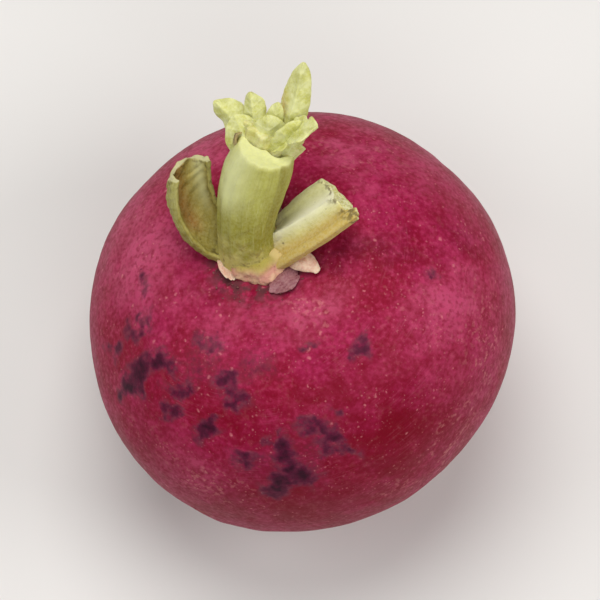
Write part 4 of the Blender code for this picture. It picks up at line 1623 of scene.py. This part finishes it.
BLADES = (
    Blade(
        "young_leaf_left_lobe",
        Spine(((3.0, 12.4, 43.2), (1.6, 14.8, 46.2), (0.2, 17.2, 48.4), (-2.6, 19.2, 50.0)), (7, 5, 5)),
        half_width=2.6, lobes=1.8, lobe_depth=0.3, fold=0.25, wave=0.4, seed=81, teeth=5.0, tooth_depth=0.07,
    ),
    Blade(
        "young_leaf_second_lobe",
        Spine(((4.2, 12.4, 43.2), (3.9, 14.6, 46.4), (4.0, 17.1, 49.2), (4.1, 19.4, 51.3)), (1, -0.2, 0.1)),
        half_width=2.3, lobes=1.6, lobe_depth=0.26, fold=0.3, wave=0.35, seed=83, teeth=5.0, tooth_depth=0.07,
    ),
    Blade(
        "young_leaf_small",
        Spine(((5.4, 12.8, 43.4), (6.6, 14.6, 46.4), (7.8, 16.0, 48.4), (8.8, 17.3, 50.2)), (1, 0.1, 0)),
        half_width=1.5, lobes=1.0, lobe_depth=0.12, fold=0.2, wave=0.0, seed=85,
    ),
    Blade(
        "young_leaf_tall",
        Spine(((7.0, 12.6, 43.4), (9.8, 14.8, 46.8), (12.2, 18.4, 50.4), (14.1, 22.5, 54.0)), (19, -6, -4)),
        half_width=2.3, lobes=1.0, lobe_depth=0.1, fold=0.5, wave=0.15, seed=87, teeth=9.0, tooth_depth=0.03,
        warm=Tinge(-1.0, 0.36, 0.5, 0.22, 0.95),
    ),
    Blade(
        "young_leaf_toothed",
        Spine(((6.8, 12.2, 43.4), (9.8, 12.2, 46.6), (12.8, 12.0, 48.8), (15.6, 12.0, 50.2)), (2, 9, -3)),
        half_width=2.9, lobes=2.4, lobe_depth=0.3, fold=0.3, wave=0.35, seed=89, teeth=5.0, tooth_depth=0.22,
    ),
    Blade(
        "young_leaf_left_pleat",
        Spine(((2.6, 9.8, 42.4), (2.7, 11.0, 45.6), (2.3, 13.4, 48.2), (0.9, 16.0, 50.2)), (1, 0.25, -0.1)),
        half_width=3, lobes=1, lobe_depth=0.05, fold=0.3, wave=0.15, seed=131, teeth=3, tooth_depth=0.04,
    ),
    Blade(
        "young_leaf_middle_pleat",
        Spine(((5.4, 9.8, 42.8), (6.2, 10.6, 45.8), (6.8, 12.8, 48.4), (6.9, 15.2, 50.4)), (1, 0.1, -0.1)),
        half_width=3.1, lobes=1, lobe_depth=0.06, fold=0.35, wave=0.15, seed=133, teeth=3, tooth_depth=0.05,
    ),
    Blade(
        "young_leaf_right_pleat",
        Spine(((7.8, 10.2, 42.8), (9.2, 10.8, 45.4), (10.8, 12.2, 47.8), (12.4, 13.8, 49.6)), (17, 9, -5)),
        half_width=3.0, lobes=1.2, lobe_depth=0.08, fold=0.3, wave=0.2, seed=135, teeth=4.0, tooth_depth=0.08,
    ),
)

LEAF_FINISH = LeafFinish(
    "young_leaf_flesh", pale=(0.72, 0.73, 0.33), green=(0.55, 0.55, 0.13), vein=(0.80, 0.81, 0.47),
    tinge=(0.58, 0.28, 0.03),
)
BRACT_FINISH = LeafFinish(
    "bract_flesh", pale=(0.78, 0.58, 0.42), green=(0.66, 0.36, 0.26), vein=(0.82, 0.64, 0.50),
    tinge=(0.36, 0.17, 0.08), patch=1.4, gloss=Gloss(0.5, 0.36, scatter=0.15, scatter_radius=(1, 0.5, 0.35)),
)
PAPER_FINISH = LeafFinish(
    "dry_scale_paper", pale=(0.32, 0.13, 0.15), green=(0.20, 0.05, 0.07), vein=(0.44, 0.24, 0.23),
    tinge=(0.16, 0.04, 0.04), patch=1.3, gloss=Gloss(0.6, 0.35, scatter=0.05),
)
TORN_FINISH = LeafFinish(
    "torn_edge_brown", pale=(0.42, 0.33, 0.13), green=(0.26, 0.17, 0.06), vein=(0.55, 0.48, 0.24),
    tinge=(0.14, 0.07, 0.025), patch=1.0, gloss=Gloss(0.6, 0.3, scatter=0.06),
)
ROOTLET_FINISH = LeafFinish(
    "rootlet_fibre", pale=(0.66, 0.48, 0.36), green=(0.46, 0.26, 0.18), vein=(0.74, 0.60, 0.48),
    tinge=(0.24, 0.11, 0.06), patch=1.2, gloss=Gloss(0.6, 0.3, scatter=0.08),
)
FLAKE_FINISH = LeafFinish(
    "scurf_flake_brown", pale=(0.24, 0.09, 0.08), green=(0.12, 0.035, 0.04), vein=(0.36, 0.18, 0.15),
    tinge=(0.08, 0.025, 0.02), patch=0.6, gloss=Gloss(0.66, 0.3),
)


@dataclass(frozen=True)
class YoungLeaves:
    """The tuft of young leaves: the folded fan and the blades that stand out of it."""

    plant: PlantFrame
    blades: tuple[Blade, ...] = BLADES

    def build(self, effects: Effects) -> list[bpy.types.Object]:
        """Builds the fan and each blade, all in one finish.

        Args:
            effects: The shared node groups.

        Returns:
            The finished pieces.
        """
        finish = LEAF_FINISH.material(effects)
        pieces = [LeafFan(self.plant).build(finish)]
        for blade in self.blades:
            pieces.append(blade.build(self.plant, finish, Slot.YOUNG_LEAF, "young_leaves"))
        return pieces


@dataclass(frozen=True)
class Bract:
    """The small pink scale below the right-hand stalk: a flattened, curved cone with a soft ridge."""

    plant: PlantFrame
    loft: Loft = Loft(
        Spine(((4.9, -1.6, 29.2), (7.1, -2.5, 30.5), (8.8, -3.4, 30.9), (10.4, -4.9, 30.0)), (6, 19, 2)),
        cap=0.5, lump=0.16, noise=Noise(1.6, 91), rows=70, cap_rows=10, columns=96,
    )
    half_widths: tuple[float, ...] = (1.2, 2.3, 2.2, 0.8)
    flatness: float = 0.45
    ridge: float = 0.2
    ridge_width: float = 0.35
    vein_width: float = 0.3

    def build(self, finish: bpy.types.Material) -> bpy.types.Object:
        """Builds the bract: a flat ellipse, with a ridge on one face that is exp(-d^2) of the angle from it.

        Args:
            finish: Its material.

        Returns:
            The finished piece.
        """
        share, angle = self.loft.shares(), circle(self.loft.columns)
        half_width = bezier(self.half_widths, share)[:, None]
        from_ridge = angle - math.pi / 2.0
        x = half_width * np.cos(angle)
        y = half_width * (self.flatness * np.sin(angle) + self.ridge * bell(from_ridge / self.ridge_width))
        along = np.concatenate([share[:1], share])[:, None]
        vein = bell(from_ridge / self.vein_width)
        masks = {Mask.VEIN: vein, Mask.WARM: 0.7 * smooth_step((0.3 - along) / 0.3)}
        grid = Grid(self.plant.place(self.loft.points(x, y)), masks)
        return make_piece("pink_bract_scale", [grid], finish, Slot.BRACT, "pink_bract")


@dataclass(frozen=True)
class DryScale:
    """A dry leaf scale that lies on the skin beside the crown: a thin blade whose curve follows the root."""

    name: str
    heading: float
    start: float
    reach: float
    half_width: float
    lift: float
    seed: int

    def build(self, root: Root, finish: bpy.types.Material) -> bpy.types.Object:
        """Builds the scale.

        Four points of its curve stand on the root's outline at growing radius, lifted more at each.

        Args:
            root: The root that it lies on.
            finish: Its material.

        Returns:
            The finished piece.
        """
        heading = math.radians(self.heading)
        radius, height = root.profile(np.linspace(0.0, 0.3, 400))
        radii = self.start + self.reach * np.linspace(0.0, 1.0, 4)
        levels = np.interp(radii, radius, height) + self.lift * np.array([0.2, 0.6, 0.9, 1.1])
        path = np.stack([radii * math.cos(heading), radii * math.sin(heading), levels], axis=-1)
        blade = Blade(
            self.name, Spine(path, (-math.sin(heading), math.cos(heading), 0.0)), self.half_width,
            lobes=1.4, lobe_depth=0.2, fold=0.12, wave=0.25, seed=self.seed, teeth=4.0, tooth_depth=0.12,
            thickness=0.35, warm=Tinge(0.0, 0.0, 1.0, 0.35, 0.9), rows=50, columns=25,
        )
        return blade.build(root.plant, finish, Slot.CROWN)


DRY_SCALES = (
    DryScale("mauve_scale", heading=-52.0, start=5.4, reach=4.4, half_width=2.7, lift=0.35, seed=101),
    DryScale("back_scale", heading=70.0, start=5.4, reach=3.6, half_width=2.2, lift=0.6, seed=107),
    DryScale("back_left_scale", heading=128.0, start=5.4, reach=3.2, half_width=2.0, lift=0.5, seed=109),
)
CREAM_SCALE = DryScale("cream_scale", heading=-158, start=5, reach=2.4, half_width=2.6, lift=0.9, seed=103)


@dataclass(frozen=True)
class ScurfFlakes:
    """Tiny brown flakes of dry skin that lie round the crown, thickest close to it."""

    root: Root
    count: int = 110
    corners: int = 6
    nearest: float = 6.2
    furthest: float = 11.0
    tilt: float = 0.35
    sizes: tuple[float, float] = (0.10, 0.36)
    lift: float = 0.12
    above: float = 0.1
    below: float = 0.14

    def build(self, effects: Effects) -> bpy.types.Object:
        """Builds the flakes as one piece.

        Each is a flat six-sided double cone, laid on the root's surface at a random place, turn and tilt.

        Args:
            effects: The shared node groups.

        Returns:
            The finished piece.
        """
        rng = np.random.default_rng(7)
        around = rng.uniform(0.0, TURN, self.count)
        radius = self.nearest + (self.furthest - self.nearest) * rng.beta(1.0, 2.4, self.count)
        shares = np.linspace(0.0, 0.3, 400)
        share = np.interp(radius, self.root.profile(shares)[0], shares)
        step = 0.002
        place = self.root.surface(around, share)
        down = unit(self.root.surface(around, share + step) - place)
        across = unit(self.root.surface(around + step, share) - place)
        normal = unit(np.cross(down, across))
        normal = normal * np.sign(normal[:, 2:])
        normal = unit(normal + self.tilt * rng.normal(size=(self.count, 3)))
        across = unit(np.cross(normal, down))
        down = np.cross(across, normal)
        size = rng.uniform(*self.sizes, (self.count, 1, 1))
        angle = circle(self.corners)[..., None]
        spread = size * rng.uniform(0.55, 1.2, (self.count, self.corners, 1))
        normal, middle = normal[:, None], (place + normal * self.lift)[:, None]
        ring = middle + spread * (across[:, None] * np.cos(angle) + 0.6 * down[:, None] * np.sin(angle))
        top, bottom = (middle + normal * height + 0.0 * ring for height in (self.above, -self.below))
        flakes = self.root.plant.place(np.stack([top, ring, bottom], axis=1))
        grids = [Grid(flake, {Mask.VEIN: np.array(0.0), Mask.WARM: np.array(0.3)}) for flake in flakes]
        return make_piece("scurf_flakes", grids, FLAKE_FINISH.material(effects), Slot.CROWN)


@dataclass(frozen=True)
class Rootlets:
    """Fine root hairs on the tail's cut, on its sides and on the scars of side roots."""

    root: Root
    on_tail: int = 16
    on_scars: int = 10
    sides: int = 7
    rows: int = 26
    narrowing: float = 0.75
    tail_lengths: tuple[float, float] = (2.0, 6.5)
    scar_lengths: tuple[float, float] = (1.2, 3.6)
    radii: tuple[float, float] = (0.09, 0.19)

    def tube(
        self, start: np.ndarray, heading: np.ndarray, length: float, radius: float, rng: np.random.Generator
    ) -> Grid:
        """One hair: rings that narrow along a curve that wanders more and more from its first direction.

        Args:
            start: Its first point, in the plant's frame.
            heading: Its first direction.
            length: Its length.
            radius: Its radius at the start.
            rng: Random numbers for its wandering.

        Returns:
            The grid.
        """
        wander = rng.normal(size=(2, 3)) * length
        path = [start + heading * far for far in (-0.4, 0.35 * length, 0.6 * length, 0.75 * length)]
        path[2] = path[2] + wander[0] * 0.22
        path[3] = path[3] + wander[1] * 0.3
        share = np.linspace(0.0, 1.0, self.rows)
        centre, _, side, front = Spine(path, (0.31, 0.52, 0.79)).frames(share)
        angle = circle(self.sides)[..., None]
        size = radius * (1.0 - self.narrowing * share[:, None, None])
        points = centre + size * (side * np.cos(angle) + front * np.sin(angle))
        ends = np.broadcast_to(centre[[0, -1]], (2, self.sides, 3))
        world = self.root.plant.place(np.concatenate([ends[:1], points, ends[1:]]))
        world[..., 2] = np.maximum(world[..., 2], 0.1 * MM)
        return Grid(world, {Mask.VEIN: np.array(0.0), Mask.WARM: np.array(0.25)})

    def build(self, effects: Effects) -> bpy.types.Object:
        """Builds all hairs as one piece.

        Args:
            effects: The shared node groups.

        Returns:
            The finished piece.
        """
        rng, join = np.random.default_rng(19), self.root.join
        on_tail = rng.uniform(join * 1.01, 0.995, self.on_tail)
        share = np.concatenate([on_tail, rng.uniform(0.6, 0.97, self.on_scars) * join])
        around = rng.uniform(0.0, TURN, len(share))
        lines = math.radians(self.root.scar_direction) + math.pi * rng.integers(0, 2, self.on_scars)
        around[self.on_tail :] = lines + rng.normal(0.0, 0.03, self.on_scars)
        place = self.root.surface(around, share)
        outward = unit(place - self.root.surface(around + math.pi, share))
        axis = self.root.surface(np.zeros(2), np.array([join * 0.6, 1.0]))
        heading = unit(outward + np.where(share > join, 0.9, 0.35)[:, None] * unit(axis[1] - axis[0]))
        long, short = (rng.uniform(*ends, len(share)) for ends in (self.tail_lengths, self.scar_lengths))
        length = np.where(share > join, long, short)
        radius = rng.uniform(*self.radii, len(share))
        grids = [self.tube(*hair, rng) for hair in zip(place, heading, length, radius)]
        return make_piece("fine_rootlets", grids, ROOTLET_FINISH.material(effects), Slot.ROOT_SKIN)


@dataclass(frozen=True)
class TornFlap:
    """The brown torn edge of the middle stalk's sheath, a curled strip that stands on its left edge.

    Its curve's points are steps ahead, aside and to the front from where it is fixed.
    """

    stalk: Stalk
    angle: float = -98.0
    share: float = 0.93
    reach: float = 4.0
    half_width: float = 1.5
    overhang: float = 0.2
    sunk: float = 1.5
    steps: tuple[Point, ...] = ((0.0, 0.0, 0.0), (1.4, -0.4, 0.1), (2.6, -0.8, 0.5), (3.4, -0.4, 1.2))

    def build(self, finish: bpy.types.Material) -> bpy.types.Object:
        """Builds the flap from the point of the sheath's edge that carries it.

        Args:
            finish: Its material.

        Returns:
            The finished piece.
        """
        share = np.array([self.share])
        section, _, angles, _ = self.stalk.ring(share)
        nearest = int(np.argmin(np.abs(angles - math.radians(self.angle))))
        centre, ahead, side, front = (value[0, 0] for value in self.stalk.spine.frames(share))
        x, y = section[0, nearest]
        start = centre + side * (x + self.overhang) + front * y - ahead * self.sunk
        steps = np.array(self.steps) * self.reach / self.steps[-1][0]
        blade = Blade(
            "torn_sheath_edge", Spine(start + steps @ np.stack([ahead, side, front]), tuple(front)),
            self.half_width, lobes=1.5, lobe_depth=0.25, fold=0.3, wave=0.25, seed=121, teeth=4.0,
            tooth_depth=0.2, thickness=0.45, warm=Tinge(0.0, 1.0, 1.0, 0.4, 0.9), rows=50, columns=25,
        )
        return blade.build(self.stalk.plant, finish, Slot.WITHERED_STALK)


@dataclass(frozen=True)
class SoftLight:
    """A large soft lamp: the direction that it stands in, its distance, size and power."""

    name: str
    azimuth: float
    elevation: float
    distance: float
    size: float
    power: float
    colour: Colour = (1.0, 1.0, 1.0)

    def build(self, target: np.ndarray) -> bpy.types.Object:
        """Makes the lamp.

        Args:
            target: The point that it is aimed at.

        Returns:
            The lamp.
        """
        data = bpy.data.lights.new(self.name, "AREA")
        data.shape = "DISK"
        data.size = self.size
        data.energy = self.power
        data.color = self.colour
        lamp = bpy.data.objects.new(self.name, data)
        bpy.context.scene.collection.objects.link(lamp)
        turn, rise = math.radians(self.azimuth), math.radians(self.elevation)
        flat = math.cos(rise)
        lamp.location = target + self.distance * np.array(
            [math.sin(turn) * flat, -math.cos(turn) * flat, math.sin(rise)]
        )
        lamp.rotation_euler = (math.pi / 2.0 - rise, 0.0, turn)
        return lamp


@dataclass(frozen=True)
class Studio:
    """The plain pale floor and the soft light."""

    plant: PlantFrame
    floor_half: float = 1.6
    floor_colour: Colour = (0.78, 0.77, 0.75)
    sky_colour: Colour = (1.0, 0.99, 0.97)
    sky_strength: float = 0.16
    lights: tuple[SoftLight, ...] = (
        SoftLight("key_light", -172.0, 70.0, 0.9, 0.6, 5.0, (1.0, 0.985, 0.965)),
        SoftLight("left_light", -85.0, 45.0, 0.9, 0.5, 1.6),
        SoftLight("right_light", 80.0, 42.0, 0.9, 0.45, 2.4, (1.0, 0.98, 0.975)),
        SoftLight("front_light", 10.0, 48.0, 1.0, 0.6, 2.0),
    )

    def build(self) -> None:
        """Makes the floor, the sky and the lamps."""
        mesh = bpy.data.meshes.new("pale_floor")
        signs = ((-1, -1), (1, -1), (1, 1), (-1, 1))
        corners = [(self.floor_half * x, self.floor_half * y, 0.0) for x, y in signs]
        mesh.from_pydata(corners, [], [(0, 1, 2, 3)])
        floor = bpy.data.objects.new("pale_floor", mesh)
        bpy.context.scene.collection.objects.link(floor)
        material, shader = Gloss(0.7, 0.2).material("pale_floor")
        shader.inputs["Base Color"].default_value = (*self.floor_colour, 1.0)
        mesh.materials.append(material)
        floor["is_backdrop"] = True
        world = bpy.data.worlds.new("soft_sky")
        world.use_nodes = True
        background = world.node_tree.nodes["Background"]
        background.inputs["Color"].default_value = (*self.sky_colour, 1.0)
        background.inputs["Strength"].default_value = self.sky_strength
        bpy.context.scene.world = world
        for light in self.lights:
            light.build(np.array(self.plant.centre) * MM)


def write_sizes() -> None:
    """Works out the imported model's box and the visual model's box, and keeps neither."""
    boxes = {"cad": CAD_BOX, "visual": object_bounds()}
    {name: [list(corner) for corner in box] for name, box in boxes.items()}


def main() -> None:
    """Builds the studio, the view and every piece of the radish."""
    logging.basicConfig(level=logging.INFO, format="%(name)s: %(message)s")
    plant = PlantFrame()
    view = PhotoView()
    effects = Effects()
    view.build(plant)
    Studio(plant).build()
    root = Root(plant, view)
    root.build(effects)
    Crown(plant).build(effects)
    cut_stalks = stalks(plant)
    for stalk in cut_stalks:
        stalk.build(effects)
    YoungLeaves(plant).build(effects)
    TornFlap(cut_stalks[0]).build(TORN_FINISH.material(effects))
    bract_flesh = BRACT_FINISH.material(effects)
    Bract(plant).build(bract_flesh)
    CREAM_SCALE.build(root, bract_flesh)
    paper = PAPER_FINISH.material(effects)
    for scale in DRY_SCALES:
        scale.build(root, paper)
    ScurfFlakes(root).build(effects)
    Rootlets(root).build(effects)
    write_sizes()


if __name__ == "__main__":
    main()
